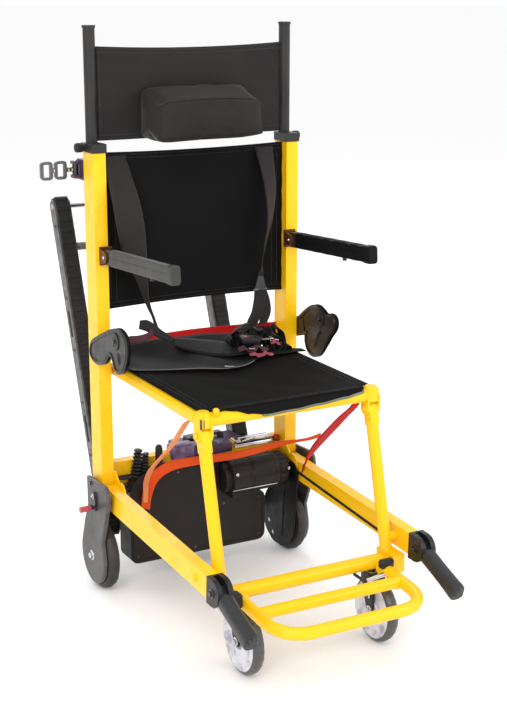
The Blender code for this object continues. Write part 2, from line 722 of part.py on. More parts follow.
def make_arms(finishes):
    half_width = ARM_WIDTH / 2
    for side, sign in sides():
        low_x = ARM_X - half_width - SEAT_GAP - ARM_EAR
        high_x = ARM_X + half_width + SEAT_GAP + ARM_EAR
        base_front = POST_FRONT - SEAT_GAP - ARM_BRACKET_BASE
        base = block(
            (min(sign * low_x, sign * high_x), base_front, ARM_PIVOT_Z - ARM_BRACKET_HEIGHT / 2),
            (max(sign * low_x, sign * high_x), POST_FRONT - SEAT_GAP, ARM_PIVOT_Z + ARM_BRACKET_HEIGHT / 2),
        )
        ear_outline = [
            (base_front + 0.002, ARM_PIVOT_Z + ARM_BRACKET_HEIGHT / 2 - 0.003),
            *arc((ARM_PIVOT_Y, ARM_PIVOT_Z), 0.0125, 80, 280, 7),
            (base_front + 0.002, ARM_PIVOT_Z - ARM_BRACKET_HEIGHT / 2 + 0.003),
        ]
        ears = [
            plate(ear_outline, sign * start, sign * (start + ARM_EAR))
            for start in (low_x, high_x - ARM_EAR)
        ]
        pin = across(sign * (low_x + 0.001), sign * (high_x - 0.001), ARM_PIVOT, ARM_PIN_RADIUS)
        add_piece(f"arm_bracket_{side}", joined(base, *ears, pin), "chair", finishes["black metal"])
        carrier = f"arm_axis_{side}"
        pivot(carrier, ARM_PIVOT)
        add_piece(f"armrest_{side}", armrest(sign), carrier, finishes["arm"])


def armrest(sign):
    """A slim padded bar with a rounded root, a squared front and a stop pin below."""
    front = ARM_PIVOT + ARM_LINE * ARM_REACH
    up = Vector((0, ARM_RISE, 1)).normalized() * ARM_HEIGHT / 2
    lip = up * 1.12
    root = math.degrees(ARM_RISE)
    outline = [
        *arc((ARM_PIVOT.y, ARM_PIVOT.z), ARM_HEIGHT / 2, -90 - root, 90 - root, 9),
        tuple((front - ARM_LINE * 0.030 + up).yz),
        tuple((front - ARM_LINE * 0.022 + lip).yz),
        tuple((front - ARM_LINE * 0.004 + lip).yz),
        tuple((front + lip * 0.75).yz),
        tuple((front - lip * 0.75).yz),
        tuple((front - ARM_LINE * 0.004 - lip).yz),
        tuple((front - ARM_LINE * 0.022 - lip).yz),
        tuple((front - ARM_LINE * 0.030 - up).yz),
    ]
    low, high = sign * (ARM_X - ARM_WIDTH / 2), sign * (ARM_X + ARM_WIDTH / 2)
    bar = plate(outline, low, high)
    rim = [e for e in bar.edges if abs(e.verts[0].co.x - e.verts[1].co.x) < 1e-6]
    bmesh.ops.bevel(bar, geom=rim, offset=0.003, segments=2, profile=0.5, affect="EDGES", material=-1)
    stop = ARM_PIVOT + ARM_LINE * ARM_STOP_REACH
    peg = rod(stop, stop - up * 1.4, 0.0045, 10)
    bmesh.ops.translate(peg, vec=(sign * ARM_X, 0, 0), verts=peg.verts)
    bore = across(low * 0.9, high * 1.1, ARM_PIVOT, ARM_PIN_RADIUS + RUN_GAP)
    return without(joined(bar, peg), bore)


def make_seat(finishes):
    pivot("seat_pivot", SEAT_PIVOT)
    rail_back = SEAT_PIVOT_Y + SEAT_TUBE_RADIUS
    corner_lap = 0.0035
    front_end = RAIL_X + corner_lap
    front = rod(
        (-front_end, FRONT_RAIL_Y, RAIL_Z), (front_end, FRONT_RAIL_Y, RAIL_Z), SEAT_TUBE_RADIUS, SEAT_TUBE_SIDES
    )
    additions, bores = [], []
    for side, sign in sides():
        x = sign * RAIL_X
        additions.append(
            rod(
                (x, rail_back, RAIL_Z), (x, FRONT_RAIL_Y - corner_lap / 2, RAIL_Z),
                SEAT_TUBE_RADIUS, SEAT_TUBE_SIDES,
            )
        )
        corner_low = RAIL_Z - SEAT_TUBE_RADIUS * 0.85
        corner = rod(
            (x, FRONT_RAIL_Y, corner_low), (x, FRONT_RAIL_Y, RAIL_Z + CORNER_TOP * 0.6), CORNER_RADIUS, 14
        )
        crown = rod(
            (x, FRONT_RAIL_Y, RAIL_Z + CORNER_TOP * 0.59),
            (x, FRONT_RAIL_Y, RAIL_Z + CORNER_TOP),
            CORNER_RADIUS * 0.99,
            14,
            end_radius=CORNER_RADIUS * 0.62,
        )
        additions += [corner, crown]
        ear_outline = [
            (LEG_EYE_Y + 0.013, RAIL_Z),
            (LEG_EYE_Y - 0.013, RAIL_Z),
            *arc((LEG_EYE_Y, LEG_EYE_Z), 0.013, 180, 360, 7),
        ]
        inner = RAIL_X - LEG_EYE_WIDTH / 2 - SEAT_GAP
        outer = RAIL_X + LEG_EYE_WIDTH / 2 + SEAT_GAP
        for start, end in ((inner - EAR_THICKNESS, inner), (outer, outer + EAR_THICKNESS)):
            additions.append(plate(ear_outline, sign * start, sign * end))
        additions.append(
            across(sign * (inner - 0.002), sign * (outer + EAR_THICKNESS + 0.002), LEG_EYE, 0.005)
        )
        bores.append(
            across(sign * (RAIL_X - 0.03), sign * (RAIL_X + 0.03), SEAT_PIVOT, HINGE_PIN_RADIUS + RUN_GAP)
        )
    frame = without(joined(front, *additions), *bores)
    add_piece("seat_frame", frame, "seat_pivot", finishes["yellow"])
    make_seat_cloth(finishes)
    make_lap_belt(finishes)
    make_leg_straps(finishes)


def cloth_height(x, y):
    """How far the seat cloth sags below the tops of the rails."""
    slack = RAIL_X - SEAT_TUBE_RADIUS - 0.002
    front = FRONT_RAIL_Y + SEAT_TUBE_RADIUS + 0.004
    length = (SEAT_CLOTH_BACK_Y - front)
    side = max(0.0, 1 - (x / slack) ** 2)
    depth = max(0.0, min(1.0, (y - front) / length))
    return SEAT_SAG * side * min(1.0, 3 * depth)


def make_seat_cloth(finishes):
    half = RAIL_X + SEAT_CLOTH_LAP - SEAT_TUBE_RADIUS / 2
    top = RAIL_Z + SEAT_TUBE_RADIUS + SEAT_GAP + PANEL_THICKNESS / 2 + 0.0002
    front = FRONT_RAIL_Y - SEAT_TUBE_RADIUS * 0.3
    shape = bmesh.new()
    bmesh.ops.create_grid(shape, x_segments=12, y_segments=8, size=1)
    for vert in shape.verts:
        x = vert.co.x * half
        y = front + (SEAT_CLOTH_BACK_Y - front) * (vert.co.y + 1) / 2
        vert.co = Vector((x, y, top - cloth_height(x, y)))
    bmesh.ops.solidify(shape, geom=shape.faces, thickness=PANEL_THICKNESS)
    bmesh.ops.recalc_face_normals(shape, faces=shape.faces)
    lowest = min(vert.co.z for vert in shape.verts if abs(vert.co.x) > half - 1e-6)
    lift = RAIL_Z + SEAT_TUBE_RADIUS + SEAT_GAP - lowest
    bmesh.ops.translate(shape, vec=(0, 0, lift), verts=shape.verts)
    notches = [
        rod(
            (sign * RAIL_X, FRONT_RAIL_Y, RAIL_Z), (sign * RAIL_X, FRONT_RAIL_Y, RAIL_Z + 0.05),
            CORNER_RADIUS + 0.001,
        )
        for side, sign in sides()
    ]
    add_piece("seat_cloth", without(shape, *notches), "seat_pivot", finishes["cloth"])


def make_lap_belt(finishes):
    """The belt that lies folded across the back of the seat, with its buckle."""
    over = RAIL_Z + SEAT_TUBE_RADIUS + PANEL_THICKNESS + 2 * SEAT_GAP + WEB_THICKNESS / 2 + 0.0014
    y = -0.092
    across_seat = (0.004, 0.021, 0.003)
    stations = [
        ((-RAIL_X + 0.012, y + 0.012, over), (0, 0.021, 0)),
        ((-RAIL_X + 0.0675, y + 0.004, over + 0.002), across_seat),
        ((-0.070, y, over + 0.010), across_seat),
        ((-0.010, y - 0.010, over + 0.004), (0.004, 0.021, -0.003)),
        ((0.050, y, over + 0.012), across_seat),
        ((RAIL_X - 0.0775, y + 0.004, over + 0.003), across_seat),
        ((RAIL_X - 0.012, y + 0.012, over), (0, 0.021, 0)),
    ]
    belt = webbing(smooth_route(stations))
    bmesh.ops.solidify(belt, geom=belt.faces, thickness=WEB_THICKNESS)
    bmesh.ops.recalc_face_normals(belt, faces=belt.faces)
    buckle = block((-0.036, y - 0.029, over - 0.001), (0.020, y + 0.009, over + 0.013))
    bmesh.ops.bevel(
        buckle, geom=buckle.edges, offset=0.003, segments=2, profile=0.5, affect="EDGES", material=-1
    )
    add_piece("lap_belt", joined(buckle, belt), "seat_pivot", finishes["black web"])


def make_leg_straps(finishes):
    """The webbing that ties each front corner of the seat to the foot of its post."""
    outer = RAIL_X - SEAT_TUBE_RADIUS - 0.001
    half = (0.009, 0, 0)
    x = outer - half[0]
    back = FRONT_RAIL_Y + SEAT_TUBE_RADIUS + SEAT_GAP + WEB_THICKNESS / 2
    for side, sign in sides():
        stations = [
            ((sign * x, back, RAIL_Z + 0.002), half),
            ((sign * x, back + 0.002, RAIL_Z - 0.018), half),
            ((sign * x, -0.365, 0.432), half),
            ((sign * x, -0.200, 0.284), half),
            ((sign * x, -0.122, 0.240), half),
        ]
        colour = finishes["red web"] if side == "left" else finishes["orange web"]
        add_piece(f"leg_strap_{side}", webbing(stations), "seat_pivot", colour, thickness=WEB_THICKNESS)


def make_seat_locks(finishes):
    """The cast locks on the outer faces of the posts, each with a hooked jaw and a bolt."""
    outline = [
        (0.023, 0.030), (0.021, 0.057), (-0.009, 0.074), (-0.044, 0.092), (-0.069, 0.106),
        (-0.089, 0.116), (-0.114, 0.122), (-0.138, 0.121), (-0.157, 0.111), (-0.165, 0.095),
        (-0.155, 0.068), (-0.137, 0.040), (-0.119, 0.017), (-0.091, 0.008), (-0.055, 0.012),
        (-0.061, 0.032), (-0.068, 0.058), (-0.064, 0.064), (-0.053, 0.060), (-0.039, 0.046),
        (-0.019, 0.036),
    ]
    rim = [(POST_FRONT + y, SEAT_PIVOT_Z + z) for y, z in outline]
    bolt_at = (0, POST_FRONT - 0.109, SEAT_PIVOT_Z + 0.098)
    shoe_at = (0, POST_FRONT + 0.011, SEAT_PIVOT_Z + 0.045)
    low = POST_OUTER + SEAT_GAP
    high = low + LOCK_THICKNESS
    for side, sign in sides():
        casting = plate(rim, sign * low, sign * high)
        bolt = across(sign * (low + 0.008), sign * (high + 0.0037), bolt_at, 0.0075, 6)
        shoe = across(sign * (low + 0.008), sign * (high + 0.0027), shoe_at, 0.009, 12)
        add_piece(f"seat_lock_{side}", joined(casting, bolt, shoe), "chair", finishes["plastic"])


def make_side_rails(finishes):
    pivot("rail_pivot", RAIL_PIVOT)
    tilt = Matrix.Rotation(-SIDE_TUBE_DROP, 4, "X").inverted()
    for side, sign in sides():
        x = sign * POST_X
        middle = (SIDE_TUBE_START + SIDE_TUBE_END) / 2
        frame = Matrix.Translation(Vector((x, middle.y, middle.z))) @ tilt
        half = Vector((SIDE_TUBE_WIDTH / 2, SIDE_TUBE_LENGTH / 2, SIDE_TUBE_HEIGHT / 2))
        wall = Vector((SIDE_TUBE_WALL, -SIDE_TUBE_WALL, SIDE_TUBE_WALL))
        shell, hollow = block(-half, half), block(-half + wall, half - wall)
        for shape in (shell, hollow):
            bmesh.ops.transform(shape, matrix=frame, verts=shape.verts)
        bores = [
            across(x - 0.03, x + 0.03, RAIL_PIVOT, HINGE_PIN_RADIUS + RUN_GAP),
            across(x - sign * 0.03, x, RAIL_PIN, HINGE_PIN_RADIUS + RUN_GAP),
        ]
        add_piece(f"side_tube_{side}", without(shell, hollow, *bores), "rail_pivot", finishes["yellow"])
        make_end_block(side, sign, tilt, finishes)


def make_end_block(side, sign, tilt, finishes):
    """The moulded block that plugs a side tube and holds its carrying handle."""
    x = sign * POST_X
    reach = END_BLOCK_LENGTH
    radius = END_BLOCK_RADIUS
    outline = [
        (-SEAT_GAP, -radius), (-SEAT_GAP, radius), *arc((-reach, 0), radius, 90, 270, 9),
    ]
    body = plate(outline, -END_BLOCK_WIDTH / 2, END_BLOCK_WIDTH / 2)
    half_width = SIDE_TUBE_WIDTH / 2 - SIDE_TUBE_WALL - SEAT_GAP
    half_height = SIDE_TUBE_HEIGHT / 2 - SIDE_TUBE_WALL - SEAT_GAP
    plug = block((-half_width, -0.004, -half_height), (half_width, END_PLUG_LENGTH, half_height))
    slot = HANDLE_EYE_WIDTH / 2 + SEAT_GAP
    gap = block((-slot, -reach - radius * 1.5, -radius * 1.2), (slot, -reach + radius * 0.62, radius * 1.2))
    pin = rod((-slot - 0.004, -reach, 0), (slot + 0.004, -reach, 0), HANDLE_PIN_RADIUS, PIN_SIDES)
    shape = joined(without(joined(body, plug), gap), pin)
    frame = Matrix.Translation(Vector((x, SIDE_TUBE_END.y, SIDE_TUBE_END.z))) @ tilt
    bmesh.ops.transform(shape, matrix=frame, verts=shape.verts)
    add_piece(f"end_block_{side}", shape, "rail_pivot", finishes["plastic"])
    carrier = f"handle_axis_{side}"
    pivot(carrier, (x, HANDLE_PIVOT.y, HANDLE_PIVOT.z), "rail_pivot")
    start = Vector((x, *(HANDLE_PIVOT + HANDLE_LINE * (radius + 0.002)).yz))
    end = Vector((x, *(HANDLE_PIVOT + HANDLE_LINE * HANDLE_LENGTH).yz))
    grip = rod(start, end, HANDLE_RADIUS)
    nose = rod(
        end - HANDLE_LINE * 0.001, end + HANDLE_LINE * 0.006, HANDLE_RADIUS - 0.0008,
        end_radius=HANDLE_RADIUS * 0.6,
    )
    eye = across(x - HANDLE_EYE_WIDTH / 2, x + HANDLE_EYE_WIDTH / 2, HANDLE_PIVOT, 0.0125)
    side_step = Vector((0, HANDLE_LINE.z, -HANDLE_LINE.y)) * 0.0115
    root = HANDLE_PIVOT
    tip = HANDLE_PIVOT + HANDLE_LINE * (radius + 0.010)
    neck = plate(
        [
            tuple((root + side_step).yz), tuple((root - side_step).yz), tuple((tip - side_step).yz),
            tuple((tip + side_step).yz),
        ],
        x - HANDLE_EYE_WIDTH / 2 + 0.0002,
        x + HANDLE_EYE_WIDTH / 2 - 0.0002,
    )
    bore = across(x - 0.02, x + 0.02, HANDLE_PIVOT, HANDLE_PIN_RADIUS + RUN_GAP)
    add_piece(
        f"carry_handle_{side}", without(joined(grip, nose, eye, neck), bore), carrier, finishes["grip"]
    )


def make_leg_frame(finishes):
    pivot("leg_pivot", LEG_EYE, "seat_pivot")
    stretcher = rod((-RAIL_X, *LEG_FOOT.yz), (RAIL_X, *LEG_FOOT.yz), STRETCHER_RADIUS)
    additions, bores = [], []
    for side, sign in sides():
        x = sign * RAIL_X
        eye_low, eye_high = x - LEG_EYE_WIDTH / 2, x + LEG_EYE_WIDTH / 2
        additions.append(across(eye_low, eye_high, LEG_EYE, LEG_EYE_RADIUS))
        side_step = Vector((0, LEG_LINE.z, -LEG_LINE.y)) * (LEG_RADIUS * 0.94)
        tip = LEG_EYE + LEG_LINE * (LEG_NECK + 0.010)
        neck = [LEG_EYE + side_step, LEG_EYE - side_step, tip - side_step, tip + side_step]
        additions.append(plate([tuple(point.yz) for point in neck], eye_low, eye_high))
        start = LEG_EYE + LEG_LINE * LEG_NECK
        additions.append(rod((x, *start.yz), (x, *LEG_FOOT.yz), LEG_RADIUS))
        block_x = sign * (FOOTREST_X + FOOTREST_RADIUS + SEAT_GAP * 2 + FOOT_BLOCK_WIDTH / 2)
        foot_block = block(
            (block_x - FOOT_BLOCK_WIDTH / 2, FOOT_BLOCK_FRONT_Y, FOOT_BLOCK_LOW_Z),
            (block_x + FOOT_BLOCK_WIDTH / 2, FOOT_BLOCK_BACK_Y, FOOT_BLOCK_HIGH_Z),
        )
        additions.append(foot_block)
        additions.append(across(
            sign * (FOOTREST_X + FOOTREST_RADIUS - 0.010), sign * (RAIL_X - 0.004),
            FOOTREST_PIVOT, FOOTREST_PIN_RADIUS,
        ))
        inner_face = POST_X - SIDE_TUBE_WIDTH / 2
        additions.append(
            across(sign * RAIL_X, sign * (inner_face - SEAT_GAP), RAIL_PIN, HINGE_PIN_RADIUS + 0.004)
        )
        additions.append(
            across(sign * RAIL_X, sign * (inner_face + SIDE_TUBE_WALL + 0.006), RAIL_PIN, HINGE_PIN_RADIUS)
        )
        bores.append(across(x - 0.03, x + 0.03, LEG_EYE, 0.005 + RUN_GAP))
        bores.append(rod(
            (sign * CASTER_X, CASTER_PIVOT_Y, LEG_FOOT_Z - 0.03),
            (sign * CASTER_X, CASTER_PIVOT_Y, FORK_STEM_TOP_Z + RUN_GAP),
            FORK_STEM_RADIUS + RUN_GAP,
            PIN_SIDES,
        ))
    add_piece("leg_frame", without(joined(stretcher, *additions), *bores), "leg_pivot", finishes["yellow"])


def make_footrest(finishes):
    """A round-cornered hoop of tube with a bar across its middle, hinged at the foot blocks."""
    pivot("footrest_pivot", FOOTREST_PIVOT, "leg_pivot")
    drop = (FOOTREST_FRONT_Z - FOOTREST_PIVOT_Z) / (FOOTREST_FRONT_Y - FOOTREST_PIVOT_Y)
    corner = (FOOTREST_X - FOOTREST_CORNER, FOOTREST_FRONT_Y + FOOTREST_CORNER)
    half = [(FOOTREST_X, FOOTREST_PIVOT_Y), *arc(corner, FOOTREST_CORNER, 0, -90, 8)]
    path = half + [(-x, y) for x, y in reversed(half)]
    points = [Vector((x, y, FOOTREST_PIVOT_Z + (y - FOOTREST_PIVOT_Y) * drop)) for x, y in path]
    hoop = tube_along(points, FOOTREST_RADIUS)
    mid_z = FOOTREST_PIVOT_Z + (FOOTREST_MID_Y - FOOTREST_PIVOT_Y) * drop
    bar = rod(
        (-FOOTREST_X, FOOTREST_MID_Y, mid_z), (FOOTREST_X, FOOTREST_MID_Y, mid_z), FOOTREST_RADIUS * 0.97
    )
    roots = [
        across(
            sign * (FOOTREST_X - FOOTREST_RADIUS * 0.9), sign * (FOOTREST_X + FOOTREST_RADIUS),
            FOOTREST_PIVOT, FOOTREST_RADIUS,
        )
        for side, sign in sides()
    ]
    bores = [
        across(sign * (FOOTREST_X + FOOTREST_RADIUS - 0.0105), sign * (FOOTREST_X + 0.05),
               FOOTREST_PIVOT, FOOTREST_PIN_RADIUS + RUN_GAP)
        for side, sign in sides()
    ]
    add_piece("footrest", without(joined(hoop, bar, *roots), *bores), "footrest_pivot", finishes["yellow"])


def tube_along(points, radius):
    """A round tube bent along the points."""
    curve = bpy.data.curves.new("path", "CURVE")
    curve.dimensions = "3D"
    curve.bevel_depth = radius
    curve.bevel_resolution = 4
    curve.use_fill_caps = True
    spline = curve.splines.new("POLY")
    spline.points.add(len(points) - 1)
    for spot, point in zip(spline.points, points):
        spot.co = (*point, 1)
    obj = bpy.data.objects.new("path", curve)
    bpy.context.scene.collection.objects.link(obj)
    graph = bpy.context.evaluated_depsgraph_get()
    mesh = bpy.data.meshes.new_from_object(obj.evaluated_get(graph))
    shape = bmesh.new()
    shape.from_mesh(mesh)
    bpy.data.objects.remove(obj, do_unlink=True)
    bmesh.ops.remove_doubles(shape, verts=shape.verts, dist=1e-6)
    bmesh.ops.recalc_face_normals(shape, faces=shape.faces)
    return shape


def wheel_profile(width, radius, bore, rim, dish):
    """A wheel's section from its bore out: hub, dished disc, and a tyre with round shoulders."""
    half = width / 2
    return [
        (-half, bore), (-half, bore + 0.012), (-half + dish, bore + 0.016), (-half + dish, rim - 0.004),
        (-half, rim), (-half, radius - 0.009), (-half + 0.003, radius - 0.003), (-half + 0.009, radius),
        (half - 0.009, radius), (half - 0.003, radius - 0.003), (half, radius - 0.009), (half, rim),
        (half - dish, rim - 0.004), (half - dish, bore + 0.016), (half, bore + 0.012), (half, bore),
    ]


def make_casters(finishes):
    for side, sign in sides():
        x = sign * CASTER_X
        swivel = f"swivel_axis_{side}"
        pivot(swivel, (x, CASTER_PIVOT_Y, FORK_UNDER_Z), "leg_pivot")
        crown_top = FORK_UNDER_Z + FORK_CROWN
        crown = rod((x, CASTER_PIVOT_Y, FORK_UNDER_Z), (x, CASTER_PIVOT_Y, crown_top), 0.0185, 20)
        stem = rod(
            (x, CASTER_PIVOT_Y, crown_top - 0.002), (x, CASTER_PIVOT_Y, FORK_STEM_TOP_Z),
            FORK_STEM_RADIUS, PIN_SIDES,
        )
        arm_outline = [
            (CASTER_PIVOT_Y + 0.012, crown_top),
            (CASTER_PIVOT_Y - 0.015, crown_top),
            (CASTER_PIVOT_Y - 0.034, crown_top - 0.024),
            (CASTER_AXLE.y - 0.012, CASTER_AXLE.z + 0.022),
            *arc((CASTER_AXLE.y, CASTER_AXLE.z), 0.011, 180, 360, 6),
            (CASTER_PIVOT_Y + 0.004, crown_top - 0.034),
            (CASTER_PIVOT_Y + 0.012, crown_top - 0.012),
        ]
        inner = CASTER_WIDTH / 2 + SIDE_GAP / 3
        arms = [
            plate(arm_outline, x + flip * inner, x + flip * (inner + FORK_WALL)) for flip in (-1, 1)
        ]
        axle = across(x - inner - 0.002, x + inner + 0.002, CASTER_AXLE, CASTER_AXLE_RADIUS)
        shape = joined(crown, stem, *arms, axle)
        add_piece(f"caster_fork_{side}", shape, swivel, finishes["plastic"])
        roll = f"caster_axle_{side}"
        pivot(roll, (x, CASTER_AXLE.y, CASTER_AXLE.z), swivel)
        profile = wheel_profile(CASTER_WIDTH, CASTER_RADIUS, CASTER_AXLE_RADIUS + RUN_GAP, 0.054, 0.003)
        add_piece(
            f"caster_wheel_{side}", turned(profile, (x, CASTER_AXLE.y, CASTER_AXLE.z)), roll, finishes[
                "caster"
            ]
        )


def make_rear_wheels(finishes):
    for side, sign in sides():
        axle = f"rear_axle_{side}"
        centre = (sign * REAR_WHEEL_X, REAR_AXLE.y, REAR_AXLE.z)
        pivot(axle, centre)
        profile = wheel_profile(
            REAR_WHEEL_WIDTH, REAR_WHEEL_RADIUS, REAR_AXLE_RADIUS + RUN_GAP, 0.058, 0.005
        )
        add_piece(f"rear_wheel_{side}", turned(profile, centre), axle, finishes["tyre"])
        make_carrier(side, sign, finishes)


def make_carrier(side, sign, finishes):
    """The plate that hangs a rear wheel from the foot of its post and covers its outer face."""
    pad_back, pad_front = POST_REAR - 0.003, RAIL_PIVOT.y - 0.028
    outline = [
        (pad_back, 0.252),
        (pad_front + 0.012, 0.257),
        (pad_front, 0.246),
        (pad_front - 0.004, 0.226),
        (pad_front + 0.012, 0.182),
        (REAR_AXLE.y - 0.054, 0.122),
        *arc((REAR_AXLE.y, REAR_AXLE.z), CARRIER_DISC_RADIUS, 160, 385, 17),
        (REAR_AXLE.y + 0.040, 0.150),
        (pad_back - 0.002, 0.190),
    ]
    outer = CARRIER_X + CARRIER_THICKNESS
    face = plate(outline, sign * CARRIER_X, sign * outer)
    rim = [
        e for e in face.edges
        if abs(e.verts[0].co.x - sign * outer) < 1e-6 and abs(e.verts[1].co.x - sign * outer) < 1e-6
    ]
    bmesh.ops.bevel(face, geom=rim, offset=0.003, segments=2, profile=0.5, affect="EDGES", material=-1)
    start = POST_OUTER + SEAT_GAP
    spacer_low = (min(sign * start, sign * (CARRIER_X + 0.002)), POST_FRONT + 0.004, 0.208)
    spacer_high = (max(sign * start, sign * (CARRIER_X + 0.002)), POST_REAR - 0.006, 0.248)
    spacer = block(spacer_low, spacer_high)
    hub_inner = REAR_WHEEL_X - REAR_WHEEL_WIDTH / 2 - 0.002
    axle = across(sign * hub_inner, sign * (CARRIER_X + 0.002), REAR_AXLE, REAR_AXLE_RADIUS)
    collar = across(
        sign * (CARRIER_X - CARRIER_GAP + SEAT_GAP), sign * (CARRIER_X + 0.002), REAR_AXLE,
        REAR_AXLE_RADIUS + 0.005,
    )
    brake_pin = across(sign * (outer - 0.002), sign * (outer + 0.0062), BRAKE_PIVOT, 0.004)
    shape = joined(face, spacer, axle, collar, brake_pin)
    add_piece(f"wheel_carrier_{side}", shape, "chair", finishes["grey"])
    carrier = f"brake_axis_{side}"
    pivot(carrier, (sign * outer, BRAKE_PIVOT.y, BRAKE_PIVOT.z))
    near, far = outer + SEAT_GAP, outer + SEAT_GAP + 0.005
    tip = BRAKE_PIVOT + Vector((0, 0, -BRAKE_ARM))
    arm = plate(stadium(tuple(tip.yz), tuple(BRAKE_PIVOT.yz), 0.0085, 8), sign * near, sign * far)
    pedal = across(sign * (near + 0.001), sign * (near + BRAKE_PEDAL), tip, 0.0045, 12)
    tread = across(
        sign * (near + BRAKE_PEDAL - 0.012), sign * (near + BRAKE_PEDAL + 0.006), tip, 0.0065, 12
    )
    bore = across(sign * (near - 0.01), sign * (near + 0.05), BRAKE_PIVOT, 0.004 + RUN_GAP)
    add_piece(f"brake_lever_{side}", without(joined(arm, pedal, tread), bore), carrier, finishes["red"])


def housing_outline(inset):
    """The drive cover's outline from the front, drawn in by an inset."""
    right, left = HOUSING_RIGHT_X + inset, HOUSING_LEFT_X - inset
    low, high = HOUSING_LOW_Z + inset, HOUSING_HIGH_Z - inset
    step_x, step_z = HOUSING_STEP_X - inset, HOUSING_STEP_Z - inset
    corner = HOUSING_CORNER - inset
    shoulder = HOUSING_SHOULDER - inset
    return [
        *arc((left - corner, low + corner), corner, -90, 0, 4),
        *arc((left - corner, step_z - corner), corner, 0, 90, 4),
        (step_x, step_z),
        *arc((step_x - corner / 2, high - corner / 2), corner / 2, 0, 90, 3),
        *arc((right + shoulder, high - shoulder), shoulder, 90, 180, 8),
        *arc((right + corner, low + corner), corner, 180, 270, 4),
    ]


def make_drive(finishes):
    under = LOWER_BAR_Z - LOWER_BAR_HEIGHT / 2 - SEAT_GAP
    bar_front = POST_Y + LOWER_BAR_BACKSET - LOWER_BAR_DEPTH / 2 - SEAT_GAP
    shell = plate(housing_outline(0), HOUSING_FRONT_Y, HOUSING_BACK_Y, "Y")
    cavity = plate(
        housing_outline(HOUSING_WALL), HOUSING_FRONT_Y + HOUSING_WALL, HOUSING_BACK_Y + 0.01, "Y"
    )
    top_cut = block((-0.3, bar_front, under), (0.3, HOUSING_BACK_Y + 0.02, 0.3))
    roof = block(
        (HOUSING_RIGHT_X + 0.020, bar_front - HOUSING_WALL, under - HOUSING_WALL),
        (HOUSING_STEP_X, HOUSING_BACK_Y, under + 0.001),
    )
    back = block(
        (HOUSING_RIGHT_X + 0.030, bar_front - HOUSING_WALL, under - HOUSING_WALL),
        (HOUSING_STEP_X, bar_front, HOUSING_HIGH_Z - 0.002),
    )
    body = without(shell, cavity)
    body = without(joined(body, roof, back), top_cut)
    spindle_y = HOUSING_FRONT_Y / 2
    spindle_z = HOUSING_HIGH_Z - 0.037
    spindle = rod(
        (HOUSING_RIGHT_X + 0.026, spindle_y, spindle_z),
        (HOUSING_RIGHT_X - 0.010, spindle_y, spindle_z), 0.0045, 10,
    )
    add_piece("drive_housing", joined(body, spindle), "chair", finishes["housing"])
    make_motor(finishes)
    make_gearbox(finishes)
    make_battery(finishes)
    make_speed_knob(finishes)


def make_motor(finishes):
    """The ribbed motor barrel that lies across the front of the drive unit."""
    y = POST_Y + LOWER_BAR_BACKSET - LOWER_BAR_DEPTH / 2 - 0.002 - MOTOR_RADIUS
    r = MOTOR_RADIUS
    length = MOTOR_LEFT_X - MOTOR_RIGHT_X
    profile = [
        (0, 0.010), (0, r * 0.72), (0.004, r * 0.80), (0.012, r * 0.80), (0.014, r),
        (length * 0.34, r), (length * 0.36, r * 0.955), (length * 0.40, r * 0.955), (length * 0.42, r),
        (length - 0.030, r), (length - 0.026, r * 0.94), (length - 0.008, r * 0.94), (length, r * 0.80),
        (length, 0.010),
    ]
    barrel = turned(profile, (MOTOR_RIGHT_X, y, MOTOR_Z), 24)
    core = rod((MOTOR_RIGHT_X + 0.001, y, MOTOR_Z), (MOTOR_LEFT_X - 0.001, y, MOTOR_Z), 0.0104)
    saddle = block(
        (MOTOR_RIGHT_X + 0.024, y - 0.010, HOUSING_STEP_Z + SEAT_GAP),
        (MOTOR_RIGHT_X + 0.094, y + MOTOR_RADIUS * 0.9, MOTOR_Z - MOTOR_RADIUS * 0.6),
    )
    motor = joined(barrel, core, saddle)
    keep_out = block((MOTOR_RIGHT_X - 0.02, -0.04, 0.150), (HOUSING_STEP_X + SEAT_GAP, 0.06, 0.30))
    add_piece("drive_motor", without(motor, keep_out), "chair", finishes["housing"])


def make_gearbox(finishes):
    front = HOUSING_FRONT_Y + HOUSING_WALL + SEAT_GAP
    box = block((-GEARBOX_HALF, front, GEARBOX_LOW_Z), (GEARBOX_HALF, GEARBOX_BACK_Y, GEARBOX_HIGH_Z))
    upright = [e for e in box.edges if abs(e.verts[0].co.y - e.verts[1].co.y) > 0.01]
    bmesh.ops.bevel(box, geom=upright, offset=0.010, segments=3, profile=0.5, affect="EDGES", material=-1)
    bosses = [
        across(
            sign * (GEARBOX_HALF - 0.004), sign * (GEARBOX_HALF + 0.012), TRACK_AXLE, SHAFT_RADIUS + 0.008
        )
        for side, sign in sides()
    ]
    bore = across(-0.1, 0.1, TRACK_AXLE, SHAFT_RADIUS + RUN_GAP)
    add_piece("gearbox", without(joined(box, *bosses), bore), "chair", finishes["grey"])


